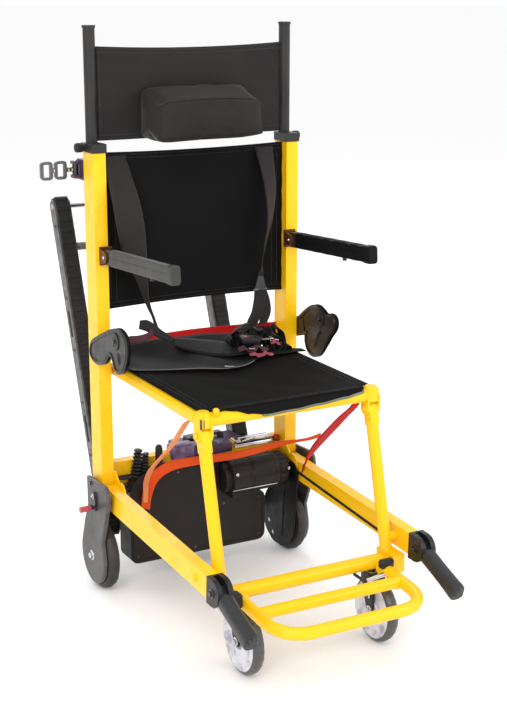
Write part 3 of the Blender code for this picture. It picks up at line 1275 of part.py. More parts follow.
def make_battery(finishes):
    front = BATTERY_FRONT
    low = GEARBOX_HIGH_Z + SEAT_GAP
    case = block(
        (BATTERY_RIGHT_X, front, low), (BATTERY_LEFT_X, front + BATTERY_DEPTH, BATTERY_HIGH_Z - 0.012)
    )
    bmesh.ops.bevel(
        case, geom=case.edges, offset=0.005, segments=2, profile=0.5, affect="EDGES", material=-1
    )
    middle = (BATTERY_RIGHT_X + BATTERY_LEFT_X) / 2
    centre_y = front + BATTERY_DEPTH / 2
    handle = [
        *arc((middle - 0.036, BATTERY_HIGH_Z - 0.008), 0.008, 180, 90, 4),
        *arc((middle + 0.036, BATTERY_HIGH_Z - 0.008), 0.008, 90, 0, 4),
        (middle + 0.044, BATTERY_HIGH_Z - 0.016), (middle + 0.036, BATTERY_HIGH_Z - 0.016),
        (middle + 0.034, BATTERY_HIGH_Z - 0.006), (middle - 0.034, BATTERY_HIGH_Z - 0.006),
        (middle - 0.036, BATTERY_HIGH_Z - 0.016), (middle - 0.044, BATTERY_HIGH_Z - 0.016),
    ]
    grip = plate(handle, centre_y - 0.008, centre_y + 0.008, "Y")
    add_piece("battery_pack", joined(case, grip), "chair", finishes["battery"])


def make_speed_knob(finishes):
    y = (HOUSING_FRONT_Y + POST_Y + LOWER_BAR_BACKSET - LOWER_BAR_DEPTH / 2) / 2
    base_z = HOUSING_HIGH_Z + SEAT_GAP
    pivot("knob_axis", (SPEED_KNOB_X, y, base_z))
    skirt = rod((SPEED_KNOB_X, y, base_z), (SPEED_KNOB_X, y, base_z + 0.012), SPEED_KNOB_RADIUS + 0.002, 16)
    stalk = rod(
        (SPEED_KNOB_X, y, base_z + 0.011), (SPEED_KNOB_X, y, base_z + SPEED_KNOB_HEIGHT),
        SPEED_KNOB_RADIUS * 0.62, 16,
        end_radius=SPEED_KNOB_RADIUS * 0.75,
    )
    pointer = block(
        (SPEED_KNOB_X, y - 0.0022, base_z + 0.001),
        (SPEED_KNOB_X + SPEED_KNOB_RADIUS + 0.004, y + 0.0022, base_z + 0.009),
    )
    add_piece("speed_knob", joined(skirt, stalk, pointer), "knob_axis", finishes["plastic"])


def belt_outline():
    """The belt's outer outline: its back between lugs, and the lugs, all the way round both pulleys."""
    straight = TRACK_LENGTH
    bend = math.pi * BELT_RADIUS
    whole = 2 * (straight + bend)
    pitch = whole / LUG_COUNT
    points = []
    for lug in range(LUG_COUNT):
        for share, height in ((0.0, 0), (0.14, LUG_HEIGHT), (0.46, LUG_HEIGHT), (0.60, 0)):
            points.append(belt_point((lug + share) * pitch, BELT_RADIUS + height, straight, bend, whole))
    return points


def belt_point(travel, radius, straight, bend, whole):
    """The (y, z) point a way along the belt, starting up its front run, at a distance from its pulleys."""
    travel = travel % whole
    if travel < straight:
        spot = TRACK_AXLE + TRACK_LINE * travel + TRACK_ACROSS * radius
    elif travel < straight + bend:
        turn = (travel - straight) / BELT_RADIUS
        spot = TRACK_TOP + (TRACK_ACROSS * math.cos(turn) + TRACK_LINE * math.sin(turn)) * radius
    elif travel < 2 * straight + bend:
        spot = TRACK_TOP - TRACK_LINE * (travel - straight - bend) - TRACK_ACROSS * radius
    else:
        turn = (travel - 2 * straight - bend) / BELT_RADIUS
        spot = TRACK_AXLE - (TRACK_ACROSS * math.cos(turn) + TRACK_LINE * math.sin(turn)) * radius
    return (spot.y, spot.z)


def make_tracks(finishes):
    pivot("track_pivot", TRACK_AXLE)
    axle, top = tuple(TRACK_AXLE.yz), tuple(TRACK_TOP.yz)
    for side, sign in sides():
        x = sign * TRACK_X
        low, high = x - BELT_WIDTH / 2, x + BELT_WIDTH / 2
        inner_radius = BELT_RADIUS - BELT_THICKNESS
        loop = without(
            plate(belt_outline(), low, high),
            plate(stadium(axle, top, inner_radius, 12), low - 0.01, high + 0.01),
        )
        add_piece(f"track_belt_{side}", loop, "track_pivot", finishes["belt"])
        cheeks = [
            plate(
                stadium(axle, top, TRACK_PLATE_RADIUS, 12),
                x + flip * TRACK_PLATE_X, x + flip * (TRACK_PLATE_X + TRACK_PLATE),
            )
            for flip in (-1, 1)
        ]
        near = TRACK_AXLE + TRACK_LINE * (BELT_RADIUS + 0.002)
        far = TRACK_TOP - TRACK_LINE * (BELT_RADIUS + 0.002)
        step = TRACK_ACROSS * TRACK_CORE
        core = plate(
            [
                tuple((near + step).yz), tuple((far + step).yz), tuple((far - step).yz),
                tuple((near - step).yz),
            ],
            x - TRACK_PLATE_X - 0.002, x + TRACK_PLATE_X + 0.002,
        )
        bores = [
            across(x - 0.05, x + 0.05, TRACK_AXLE, SHAFT_RADIUS + RUN_GAP),
            across(x - 0.05, x + 0.05, TRACK_TOP, IDLER_SHAFT_RADIUS + RUN_GAP),
        ]
        rail = without(joined(cheeks[0], core, cheeks[1]), *bores)
        add_piece(f"track_rail_{side}", rail, "track_pivot", finishes["grey"])
    tie_end = TRACK_X - TRACK_PLATE_X - TRACK_PLATE - SEAT_GAP
    tie = across(-tie_end, tie_end, TRACK_AXLE + TRACK_LINE * TIE_REACH, TIE_RADIUS, TUBE_SIDES)
    add_piece("track_tie", tie, "track_pivot", finishes["grey"])
    make_drive_shaft(finishes)
    make_idler_shaft(finishes)


def make_drive_shaft(finishes):
    """The shaft through the gearbox, with a toothed sprocket inside the foot of each belt."""
    pivot("drive_axis", TRACK_AXLE)
    end = TRACK_X + TRACK_PLATE_X + TRACK_PLATE
    shaft = across(-end, end, TRACK_AXLE, SHAFT_RADIUS)
    sprockets = []
    for side, sign in sides():
        outline = []
        for tooth in range(SPROCKET_TEETH):
            for share, radius in (
                (0.0, SPROCKET_RADIUS - SPROCKET_TOOTH), (0.30, SPROCKET_RADIUS - SPROCKET_TOOTH),
                (0.45, SPROCKET_RADIUS), (0.85, SPROCKET_RADIUS),
            ):
                turn = 2 * math.pi * (tooth + share) / SPROCKET_TEETH
                outline.append(
                    (TRACK_AXLE.y + radius * math.cos(turn), TRACK_AXLE.z + radius * math.sin(turn))
                )
        half = BELT_WIDTH / 2 - RUN_GAP
        sprockets.append(plate(outline, sign * TRACK_X - half, sign * TRACK_X + half))
    add_piece("drive_shaft", joined(shaft, *sprockets), "drive_axis", finishes["steel"])


def make_idler_shaft(finishes):
    """The shaft across the tops of the tracks, with a plain roller inside the head of each belt."""
    pivot("idler_axis", TRACK_TOP, "track_pivot")
    end = TRACK_X + TRACK_PLATE_X + TRACK_PLATE
    half = BELT_WIDTH / 2 - RUN_GAP
    rollers = [
        across(sign * TRACK_X - half, sign * TRACK_X + half, TRACK_TOP, SPROCKET_RADIUS, 24)
        for side, sign in sides()
    ]
    shaft = joined(across(-end, end, TRACK_TOP, IDLER_SHAFT_RADIUS), *rollers)
    add_piece("idler_shaft", shaft, "idler_axis", finishes["steel"])


def make_lever(finishes):
    """The operator's lever behind the right post, with its two grip rings."""
    back = LEVER_Y + 0.009
    low_x, high_x = LEVER_PIN_X - 0.007, -POST_X - 0.002
    eye_half = 0.011
    cheek = 0.006
    foot = block(
        (-POST_OUTER - 0.001, POST_REAR + SEAT_GAP, LEVER_Z - 0.021), (high_x, back, LEVER_Z + 0.021)
    )
    cheeks = [
        block((low_x, LEVER_Y - 0.009, LEVER_Z + z), (high_x - 0.004, back, LEVER_Z + z + cheek))
        for z in (eye_half + SEAT_GAP, -eye_half - SEAT_GAP - cheek)
    ]
    pin = rod(
        (LEVER_PIN_X, LEVER_Y, LEVER_Z - 0.014), (LEVER_PIN_X, LEVER_Y, LEVER_Z + 0.014),
        LEVER_PIN_RADIUS, PIN_SIDES,
    )
    add_piece("lever_bracket", joined(foot, *cheeks, pin), "chair", finishes["plum"])
    pivot("lever_axis", (LEVER_PIN_X, LEVER_Y, LEVER_Z))
    eye = rod(
        (LEVER_PIN_X, LEVER_Y, LEVER_Z - eye_half), (LEVER_PIN_X, LEVER_Y, LEVER_Z + eye_half), 0.0062,
        PIN_SIDES,
    )
    pieces = []
    for ring_x in LEVER_RINGS_X:
        half_width, half_height = RING_WIDTH / 2, RING_HEIGHT / 2
        ring = block(
            (ring_x - half_width, LEVER_Y - RING_THICKNESS / 2, LEVER_Z - half_height),
            (ring_x + half_width, LEVER_Y + RING_THICKNESS / 2, LEVER_Z + half_height),
        )
        corners = [e for e in ring.edges if abs(e.verts[0].co.y - e.verts[1].co.y) > 0.005]
        bmesh.ops.bevel(
            ring, geom=corners, offset=0.007, segments=3, profile=0.5, affect="EDGES", material=-1
        )
        hole = block(
            (ring_x - half_width + RING_BAR, LEVER_Y - 0.02, LEVER_Z - half_height + RING_BAR),
            (ring_x + half_width - RING_BAR, LEVER_Y + 0.02, LEVER_Z + half_height - RING_BAR),
        )
        pieces.append(without(ring, hole))
    link_end = LEVER_RINGS_X[0] + RING_WIDTH / 2
    pieces.append(rod(
        (LEVER_PIN_X - 0.003, LEVER_Y, LEVER_Z), (link_end - 0.003, LEVER_Y, LEVER_Z), LEVER_ROD_RADIUS, 12
    ))
    gap_start = LEVER_RINGS_X[0] - RING_WIDTH / 2 + 0.003
    gap_end = LEVER_RINGS_X[1] + RING_WIDTH / 2 - 0.003
    pieces.append(
        rod((gap_start, LEVER_Y, LEVER_Z), (gap_end, LEVER_Y, LEVER_Z), LEVER_ROD_RADIUS * 0.8, 12)
    )
    bore = rod(
        (LEVER_PIN_X, LEVER_Y, LEVER_Z - 0.03), (LEVER_PIN_X, LEVER_Y, LEVER_Z + 0.03),
        LEVER_PIN_RADIUS + RUN_GAP, PIN_SIDES,
    )
    add_piece("operator_lever", without(joined(eye, *pieces), bore), "lever_axis", finishes["steel"])


def main():
    for obj in list(bpy.data.objects):
        bpy.data.objects.remove(obj, do_unlink=True)
    finishes = {
        "yellow": finish("yellow enamel", (0.90, 0.62, 0.0), 0.35),
        "black metal": finish("black metal", (0.030, 0.030, 0.032), 0.45, 0.2),
        "plastic": finish("black plastic", (0.022, 0.022, 0.024), 0.5),
        "housing": finish("drive cover plastic", (0.016, 0.014, 0.014), 0.55),
        "battery": finish("battery case", (0.055, 0.028, 0.060), 0.5),
        "plum": finish("bracket", (0.09, 0.05, 0.10), 0.5),
        "grey": finish("grey casting", (0.22, 0.23, 0.23), 0.45, 0.3),
        "steel": finish("bright steel", (0.45, 0.46, 0.48), 0.3, 0.9),
        "cloth": finish("black cloth", (0.022, 0.021, 0.021), 0.9),
        "black web": finish("black webbing", (0.035, 0.034, 0.036), 0.85),
        "red web": finish("red webbing", (0.60, 0.03, 0.03), 0.8),
        "orange web": finish("orange webbing", (0.75, 0.13, 0.03), 0.8),
        "arm": finish("arm cover", (0.06, 0.06, 0.06), 0.6),
        "grip": finish("hand grip", (0.02, 0.02, 0.022), 0.6),
        "caster": finish("caster wheel", (0.42, 0.43, 0.46), 0.45),
        "tyre": finish("wheel rubber", (0.03, 0.03, 0.032), 0.7),
        "belt": finish("belt rubber", (0.015, 0.014, 0.014), 0.8),
        "red": finish("red lever", (0.45, 0.03, 0.04), 0.45),
    }
    pivot("chair", (0, 0, 0))
    bpy.data.objects["chair"].location = (-FOOTPRINT_X, -FOOTPRINT_Y, 0)
    make_posts(finishes)
    make_crossbars(finishes)
    make_collars(finishes)
    make_head_frame(finishes)
    make_backrest(finishes)
    make_shoulder_straps(finishes)
    make_bands(finishes)
    make_arms(finishes)
    make_seat(finishes)
    make_seat_locks(finishes)
    make_side_rails(finishes)
    make_leg_frame(finishes)
    make_footrest(finishes)
    make_casters(finishes)
    make_rear_wheels(finishes)
    make_drive(finishes)
    make_tracks(finishes)
    make_lever(finishes)


main()
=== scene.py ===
import math

import bmesh
import bpy
from mathutils import Matrix, Vector
from mathutils.bvhtree import BVHTree


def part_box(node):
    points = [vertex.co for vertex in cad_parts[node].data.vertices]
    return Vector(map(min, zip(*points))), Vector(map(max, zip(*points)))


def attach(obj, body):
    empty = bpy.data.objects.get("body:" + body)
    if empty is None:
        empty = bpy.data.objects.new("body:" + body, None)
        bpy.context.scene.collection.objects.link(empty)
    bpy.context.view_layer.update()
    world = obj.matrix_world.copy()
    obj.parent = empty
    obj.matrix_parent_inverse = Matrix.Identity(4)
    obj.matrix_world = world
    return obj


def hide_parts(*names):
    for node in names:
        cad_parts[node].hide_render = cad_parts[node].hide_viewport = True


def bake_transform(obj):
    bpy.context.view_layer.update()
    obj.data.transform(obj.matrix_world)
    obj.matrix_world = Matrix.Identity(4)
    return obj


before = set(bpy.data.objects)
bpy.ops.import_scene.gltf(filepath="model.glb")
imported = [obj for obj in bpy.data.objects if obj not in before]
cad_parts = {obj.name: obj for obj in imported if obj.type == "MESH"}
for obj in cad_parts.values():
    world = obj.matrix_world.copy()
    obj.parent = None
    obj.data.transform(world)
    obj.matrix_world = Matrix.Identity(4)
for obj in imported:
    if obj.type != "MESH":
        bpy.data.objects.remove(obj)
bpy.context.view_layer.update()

# Camera: the photograph's height, distance and lens, from the sitter's right front.
# Places below are the chair's own: from the floor midway between the posts, which face -Y.
post_half_depth = 0.021
camera_pitch, camera_turn = 15.0395, 28.2992
post_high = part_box("post_left")[1]
middle = Vector(((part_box("post_right")[0].x + post_high.x) / 2, post_high.y - post_half_depth, 0))


def chair(x, y, z):
    """A place in the frame, from the chair's own coordinates."""
    return middle + Vector((x, y, z))


lens = bpy.data.cameras.new("camera")
lens.sensor_width = 36
lens.lens = 71.80
camera = bpy.data.objects.new("camera", lens)
camera.location = chair(-1.3301, -2.7416, 1.301)
camera.rotation_euler = (math.radians(90 - camera_pitch), 0, -math.radians(camera_turn))
bpy.context.scene.collection.objects.link(camera)
bpy.context.scene.camera = camera
bpy.context.scene.view_settings.view_transform = "Standard"

# Light: a broad key from the front left, a weaker fill from the right and one from behind.
# All three face the middle of the chair, under an even white sky.
for name, place, size, power in (
    ("key", (-2.6, -3.2, 3.4), 2.6, 120),
    ("fill", (3.0, -2.6, 2.2), 2.4, 40),
    ("back", (0.4, 3.4, 3.0), 2.6, 50),
):
    lamp = bpy.data.lights.new(name, "AREA")
    lamp.size = size
    lamp.energy = power
    holder = bpy.data.objects.new(name, lamp)
    holder.location = place
    holder.rotation_euler = (Vector((0, 0, 0.55)) - Vector(place)).to_track_quat("-Z", "Y").to_euler()
    bpy.context.scene.collection.objects.link(holder)
sky = bpy.data.worlds.new("studio")
sky.use_nodes = True
background = sky.node_tree.nodes["Background"]
background.inputs["Color"].default_value = (1, 1, 1, 1)
background.inputs["Strength"].default_value = 1.0
bpy.context.scene.world = sky


# Floor: one wide, plain, pale sheet, a hair below the wheels.
# It is a matt disc that reaches past the view on every side.
def solid(name, shape, material, body=None, slot=None, angle=35):
    """An object at the origin made from a shape, with its material and the body it rides on; the slot is not
    used.
    """
    mesh = bpy.data.meshes.new(name)
    shape.to_mesh(mesh)
    shape.free()
    piece = bpy.data.objects.new(name, mesh)
    bpy.context.scene.collection.objects.link(piece)
    mesh.materials.append(material)
    mesh.shade_smooth()
    mesh.set_sharp_from_angle(angle=math.radians(angle))
    if body:
        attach(piece, body)
    return piece


ground = bpy.data.materials.new("ground")
ground.use_nodes = True
ground.node_tree.nodes["Principled BSDF"].inputs["Base Color"].default_value = (0.96, 0.96, 0.96, 1)
ground.node_tree.nodes["Principled BSDF"].inputs["Roughness"].default_value = 0.9
floor_shape = bmesh.new()
bmesh.ops.create_circle(floor_shape, cap_ends=True, segments=96, radius=60)
bmesh.ops.translate(floor_shape, vec=(0, 0, -0.0005), verts=floor_shape.verts)
solid("floor", floor_shape, ground)


# Hard finishes: enamel, powder coat, castings, mouldings, steel and rubber.
# Each is two close colours mottled by noise, an uneven gloss, a fine grain and worn edges.
def node(tree, kind, inlets, **settings):
    """The outlets of a new shader node, whose inlets are linked to a socket or set to a value."""
    made = tree.nodes.new("ShaderNode" + kind)
    for name, value in settings.items():
        setattr(made, name, value)
    for name, value in inlets.items():
        if isinstance(value, bpy.types.NodeSocket):
            tree.links.new(value, made.inputs[name])
        else:
            made.inputs[name].default_value = value
    return made.outputs


def noise(tree, source, scale, detail):
    return node(tree, "TexNoise", {"Scale": scale, "Detail": detail, "Vector": source})["Fac"]


def ranged(tree, source, low, high, to_low, to_high):
    limits = {"From Min": low, "From Max": high, "To Min": to_low, "To Max": to_high}
    return node(tree, "MapRange", {"Value": source, **limits})["Result"]


def blended(tree, factor, one, two):
    """A colour between one and two; either is a colour or a socket that gives one."""
    one, two = [(*colour, 1) if isinstance(colour, tuple) else colour for colour in (one, two)]
    return node(tree, "Mix", {"Factor": factor, 6: one, 7: two}, data_type="RGBA")[2]


def blank(name, metallic=0.0, coat=0.0, sheen=0.0, specular=0.5):
    """A material with its node tree, its shader's inlets and its coordinates."""
    material = bpy.data.materials.new(name)
    material.use_nodes = True
    tree = material.node_tree
    shader = tree.nodes["Principled BSDF"].inputs
    for socket, value in (
        ("Metallic", metallic), ("Coat Weight", coat), ("Coat Roughness", 0.12),
        ("Sheen Weight", sheen), ("Sheen Roughness", 0.4), ("Specular IOR Level", specular),
    ):
        shader[socket].default_value = value
    return material, tree, shader, node(tree, "TexCoord", {})


def dressed(tree, shader, colour, gloss, height, relief, depth=0.0004):
    """Links a colour, a roughness and a bump height to a shader."""
    bump = node(tree, "Bump", {"Strength": relief, "Distance": depth, "Height": height})
    for socket, source in (("Base Color", colour), ("Roughness", gloss), ("Normal", bump["Normal"])):
        tree.links.new(source, shader[socket])


def hard(name, dark, light, gloss, grain, relief, worn=None, patch=11.0, **more):
    material, tree, shader, spot = blank(name, **more)
    spot = spot["Object"]
    colour = blended(tree, ranged(tree, noise(tree, spot, patch, 5), 0.35, 0.65, 0, 1), dark, light)
    if worn:
        edge = ranged(tree, node(tree, "NewGeometry", {})["Pointiness"], 0.53, 0.62, 0, 1)
        patchy = ranged(tree, noise(tree, spot, 60, 4), 0.4, 0.7, 0, 1)
        scuff = node(tree, "Math", {0: edge, 1: patchy}, operation="MULTIPLY")[0]
        colour = blended(tree, scuff, colour, worn)
    uneven = ranged(tree, noise(tree, spot, patch * 4, 4), 0.3, 0.7, *gloss)
    dressed(tree, shader, colour, uneven, noise(tree, spot, grain, 2), relief)
    return material


enamel = hard(
    "yellow_enamel", (0.925, 0.515, 0.0005), (0.945, 0.54, 0.001), (0.30, 0.40), 180, 0.03,
    worn=(0.97, 0.60, 0.02), coat=0.12, specular=0.3, patch=5.0,
)
powder = hard(
    "black_powder_coat", (0.013, 0.012, 0.012), (0.022, 0.020, 0.019), (0.40, 0.55), 900, 0.2, specular=0.4,
)
moulded = hard(
    "black_moulding", (0.006, 0.006, 0.007), (0.012, 0.012, 0.013), (0.34, 0.48), 700, 0.25, specular=0.4,
)
cover_skin = hard(
    "cover_moulding", (0.006, 0.004, 0.004), (0.012, 0.009, 0.008), (0.42, 0.55), 520, 0.3, specular=0.3,
)
battery_skin = hard(
    "battery_moulding", (0.026, 0.010, 0.034), (0.070, 0.034, 0.088), (0.28, 0.42), 600, 0.2, patch=16.0,
)
plum_coat = hard("bracket_coat", (0.045, 0.020, 0.055), (0.09, 0.045, 0.105), (0.35, 0.5), 500, 0.2)
casting = hard(
    "grey_casting", (0.045, 0.042, 0.042), (0.085, 0.080, 0.079), (0.34, 0.48), 420, 0.28,
    worn=(0.20, 0.20, 0.20), specular=0.4,
)
bright = hard("bright_steel", (0.50, 0.51, 0.53), (0.66, 0.67, 0.70), (0.14, 0.28), 300, 0.06, metallic=1.0)
dark_steel = hard("dark_steel", (0.06, 0.06, 0.065), (0.16, 0.15, 0.16), (0.22, 0.36), 300, 0.1, metallic=1.0)
bronze = hard(
    "bronze_steel", (0.030, 0.010, 0.006), (0.14, 0.045, 0.012), (0.28, 0.42), 500, 0.15, metallic=0.4,
)
wheel_rubber = hard(
    "wheel_rubber", (0.014, 0.013, 0.013), (0.034, 0.032, 0.032), (0.45, 0.62), 380, 0.3, specular=0.4,
)
belt_rubber = hard(
    "belt_rubber", (0.008, 0.008, 0.008), (0.020, 0.019, 0.019), (0.6, 0.78), 420, 0.4, specular=0.3,
)
grip_rubber = hard("grip_rubber", (0.008, 0.009, 0.010), (0.016, 0.018, 0.020), (0.30, 0.42), 800, 0.25)
red_coat = hard("red_coat", (0.36, 0.015, 0.02), (0.52, 0.03, 0.035), (0.3, 0.42), 400, 0.12, coat=0.2)
arm_skin = hard("arm_skin", (0.010, 0.010, 0.010), (0.020, 0.020, 0.019), (0.42, 0.55), 650, 0.4)

# Brake lever finish: dark plum, with a red peg on the side away from the chair.
# The two are told apart by how far they are from the chair's middle.
brake_skin, tree, shader, spot = blank("brake_skin", coat=0.1)
aside = node(tree, "SeparateXYZ", {0: spot["Object"]})["X"]
inside = node(tree, "Math", {0: aside, 1: middle.x, 2: 0.2665}, operation="COMPARE")[0]
smudge = ranged(tree, noise(tree, spot["Object"], 90, 4), 0.35, 0.65, 0, 1)
peg = blended(tree, smudge, (0.36, 0.03, 0.045), (0.56, 0.09, 0.11))
arm = blended(tree, smudge, (0.020, 0.008, 0.016), (0.05, 0.018, 0.035))
gloss = ranged(tree, smudge, 0, 1, 0.3, 0.45)
dressed(tree, shader, blended(tree, inside, peg, arm), gloss, noise(tree, spot["Object"], 500, 2), 0.15)

# Caster finish: a pale, smudged disc with a grey hub inside a dark tyre.
# The three are told apart by how far they are from the axle.
caster_skin, tree, shader, spot = blank("caster_skin", coat=0.1)
caster_low, caster_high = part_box("caster_wheel_left")
axle = (0, (caster_low.y + caster_high.y) / 2, (caster_low.z + caster_high.z) / 2)
offset = node(tree, "VectorMath", {0: spot["Object"], 1: axle}, operation="SUBTRACT")[0]
radial = node(tree, "VectorMath", {0: offset, 1: (0, 1, 1)}, operation="MULTIPLY")[0]
reach = node(tree, "VectorMath", {0: radial}, operation="LENGTH")["Value"]
tyre_part = ranged(tree, reach, 0.0590, 0.0600, 0, 1)
hub_part = ranged(tree, reach, 0.0165, 0.0175, 1, 0)
smudge = ranged(tree, noise(tree, spot["Object"], 46, 6), 0.44, 0.62, 0, 1)
disc = blended(tree, smudge, (0.66, 0.66, 0.73), (0.34, 0.34, 0.40))
disc = blended(tree, hub_part, disc, (0.20, 0.20, 0.22))
disc = blended(tree, tyre_part, disc, (0.062, 0.062, 0.064))
dressed(tree, shader, disc, ranged(tree, smudge, 0, 1, 0.25, 0.5), noise(tree, spot["Object"], 420, 2), 0.2)

# The CAD pieces that stay: each takes one of the finishes above.
# Those on both sides of the chair are named by their kind alone.
sides = (("right", -1), ("left", 1))
for material, single, paired in (
    (enamel, ["lower_crossbar", "seat_frame", "leg_frame", "footrest"], ["post", "side_tube"]),
    (powder, ["upper_crossbar"], ["head_tube", "collar"]),
    (moulded, ["speed_knob"], ["clamp_knob", "end_block", "caster_fork"]),
    (cover_skin, ["drive_housing", "drive_motor"], []),
    (battery_skin, ["battery_pack"], []),
    (plum_coat, ["lever_bracket"], []),
    (casting, ["gearbox", "track_tie"], ["wheel_carrier", "track_rail"]),
    (bright, ["drive_shaft", "idler_shaft"], []),
    (dark_steel, ["operator_lever"], []),
    (bronze, [], ["arm_bracket"]),
    (arm_skin, [], ["armrest"]),
    (grip_rubber, [], ["carry_handle"]),
    (caster_skin, [], ["caster_wheel"]),
    (wheel_rubber, [], ["rear_wheel"]),
    (belt_rubber, [], ["track_belt"]),
    (brake_skin, [], ["brake_lever"]),
):
    for name in single + [f"{kind}_{side}" for kind in paired for side, sign in sides]:
        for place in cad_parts[name].material_slots:
            place.material = material


# Cloth finishes: a plain weave in the cloth's own coordinates, and the ribs of webbing.
# Each is two close colours by thread and by a slow fade across the piece.
def woven(name, dark, light, pitch, gloss, relief, ribs=False, sheen=0.3):
    material, tree, shader, spot = blank(name, sheen=sheen, specular=0.15)
    waves = {}
    for at, direction in enumerate("XY"):
        step = pitch * (2.5 if ribs and direction == "X" else 1)
        look = {"Scale": 0.314159 / step, "Distortion": 0.3, "Detail Scale": 2.0, "Vector": spot["UV"]}
        waves[at] = node(tree, "TexWave", look, bands_direction=direction)["Fac"]
    threads = node(tree, "Math", waves, operation="MAXIMUM" if ribs else "MULTIPLY")[0]
    fade = ranged(tree, noise(tree, spot["Object"], 5.0, 4), 0.35, 0.65, 0, 0.6)
    shade = node(tree, "Math", {0: threads, 1: 0.4, 2: fade}, operation="MULTIPLY_ADD")[0]
    colour, gloss = blended(tree, shade, dark, light), ranged(tree, shade, 0, 1, *gloss)
    dressed(tree, shader, colour, gloss, threads, relief, 0.0005)
    return material


def webbing(name, dark, light, sheen=0.0, gloss=(0.5, 0.7), relief=0.5):
    return woven(name, dark, light, 0.0019, gloss, relief, ribs=True, sheen=sheen)


sling_cloth = woven(
    "sling_cloth", (0.011, 0.010, 0.010), (0.026, 0.024, 0.023), 0.0013, (0.55, 0.75), 0.3, sheen=0.12,
)
panel_cloth = woven(
    "panel_cloth", (0.0025, 0.0023, 0.0023), (0.006, 0.0055, 0.0055), 0.0013, (0.8, 0.95), 0.25, sheen=0,
)
pad_cloth = woven(
    "pad_cloth", (0.014, 0.0125, 0.012), (0.029, 0.027, 0.025), 0.0015, (0.5, 0.7), 0.25, sheen=0.1,
)
black_web = webbing("black_webbing", (0.007, 0.006, 0.0065), (0.022, 0.020, 0.021), 0.1, (0.4, 0.6), 0.6)
plum_web = webbing("plum_webbing", (0.035, 0.008, 0.014), (0.10, 0.03, 0.042), 0.1, (0.4, 0.6), 0.6)
red_web = webbing("red_webbing", (0.40, 0.004, 0.006), (0.58, 0.012, 0.012))
orange_web = webbing("orange_webbing", (0.60, 0.055, 0.006), (0.80, 0.11, 0.018))
pale_web = webbing("pale_webbing", (0.72, 0.20, 0.07), (0.88, 0.36, 0.17))


# Head sling: coated cloth stretched between the head tubes, hemmed top and bottom.
# A grid laid in a shallow belly; the hems are the cloth turned over, so they are thicker.
def mapped(columns, rows, place, size):
    """A sheet of quads whose corners are placed by place(u, v), with its flat size in its UVs."""
    shape = bmesh.new()
    bmesh.ops.create_grid(shape, x_segments=columns, y_segments=rows, size=1)
    layer = shape.loops.layers.uv.new("UVMap")
    spots = {vert: ((vert.co.x + 1) / 2, (vert.co.y + 1) / 2) for vert in shape.verts}
    for face in shape.faces:
        for loop in face.loops:
            u, v = spots[loop.vert]
            loop[layer].uv = (u * size[0], v * size[1])
    for vert, (u, v) in spots.items():
        vert.co = place(u, v)
    return shape


def rowed(rows, place):
    """The same placing, with its rows where the list says."""
    return lambda u, v: place(u, rows[round(v * (len(rows) - 1))])


def thickened(piece, thickness, hem_at=None, thin=0.6):
    """Gives a sheet its thickness, which hem_at(vertex) tells where the cloth is double."""
    wall = piece.modifiers.new("thickness", "SOLIDIFY")
    wall.thickness = thickness
    wall.offset = 0
    if hem_at:
        group = piece.vertex_groups.new(name="hem")
        for vert in piece.data.vertices:
            group.add([vert.index], 1.0 if hem_at(vert.co) else thin, "REPLACE")
        wall.vertex_group = "hem"


cloth_inset = 0.0002
sling_low, sling_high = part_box("head_sling")
sling_width = sling_high.x - sling_low.x
sling_height = sling_high.z - sling_low.z
sling_belly = 0.004
sling_rows = [0, 0.03, 0.062, 0.07] + [0.07 + 0.86 * i / 18 for i in range(1, 18)] + [0.93, 0.938, 0.97, 1]


def sling_place(u, v):
    bow = 1 - (2 * u - 1) ** 2
    x = sling_low.x + cloth_inset + u * (sling_width - 2 * cloth_inset)
    ripple = 0.0009 * math.sin(v * 31 + 2 * math.sin(u * 9)) * abs(2 * u - 1) ** 3
    y = sling_high.y - 0.0017 - sling_belly * bow * (1 - v) * v * 4 + ripple
    return Vector((x, y, sling_low.z + v * sling_height - 0.006 * bow * v))


sling_shape = mapped(40, len(sling_rows) - 1, rowed(sling_rows, sling_place), (sling_width, sling_height))
sling = solid("head_sling_cloth", sling_shape, sling_cloth, "head_frame", "cloth", 50)
thickened(sling, 0.0026, lambda co: co.z < sling_low.z + 0.012 or co.z > sling_high.z - 0.018, thin=0.62)
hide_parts("head_sling")


# Sling stitching: two rows of thread along each hem and one down each side.
# Each stitch is a short rounded bead pressed against the cloth's front.
def stitch_line(shape, points, lift, length=0.0034, gap=0.0016, width=0.0007):
    """Adds thread along the points, stood off by the lift vector."""
    travel = 0.0
    for start, end in zip(points, points[1:]):
        along = end - start
        span = along.length
        while travel < span:
            turn = along.to_track_quat("Z", "Y").to_matrix().to_4x4()
            centre = start + along * min(1, (travel + length / 2) / span) + lift
            size = Matrix.Diagonal((width, width, length, 1))
            bmesh.ops.create_uvsphere(
                shape, u_segments=5, v_segments=4, radius=0.5, matrix=Matrix.Translation(centre) @ turn @ size
            )
            travel += length + gap
        travel -= span


def sewn(shape, place, start, end, count, lift):
    """Adds a row of thread to a placed sheet, from one (u, v) to another."""
    start, span = Vector(start), Vector(end) - Vector(start)
    stitch_line(shape, [place(*(start + span * i / count)) for i in range(count + 1)], Vector(lift))


thread = hard("thread", (0.05, 0.05, 0.05), (0.09, 0.09, 0.09), (0.5, 0.7), 900, 0.1)
sling_thread = bmesh.new()
for level in (0.018, 0.058, 0.938, 0.982):
    sewn(sling_thread, sling_place, (0, level), (1, level), 30, (0, -0.0014, 0))
for side in (0.016, 0.984):
    sewn(sling_thread, sling_place, (side, 0.06), (side, 0.94), 20, (0, -0.0010, 0))
solid("head_sling_thread", sling_thread, thread, "head_frame", "cloth")

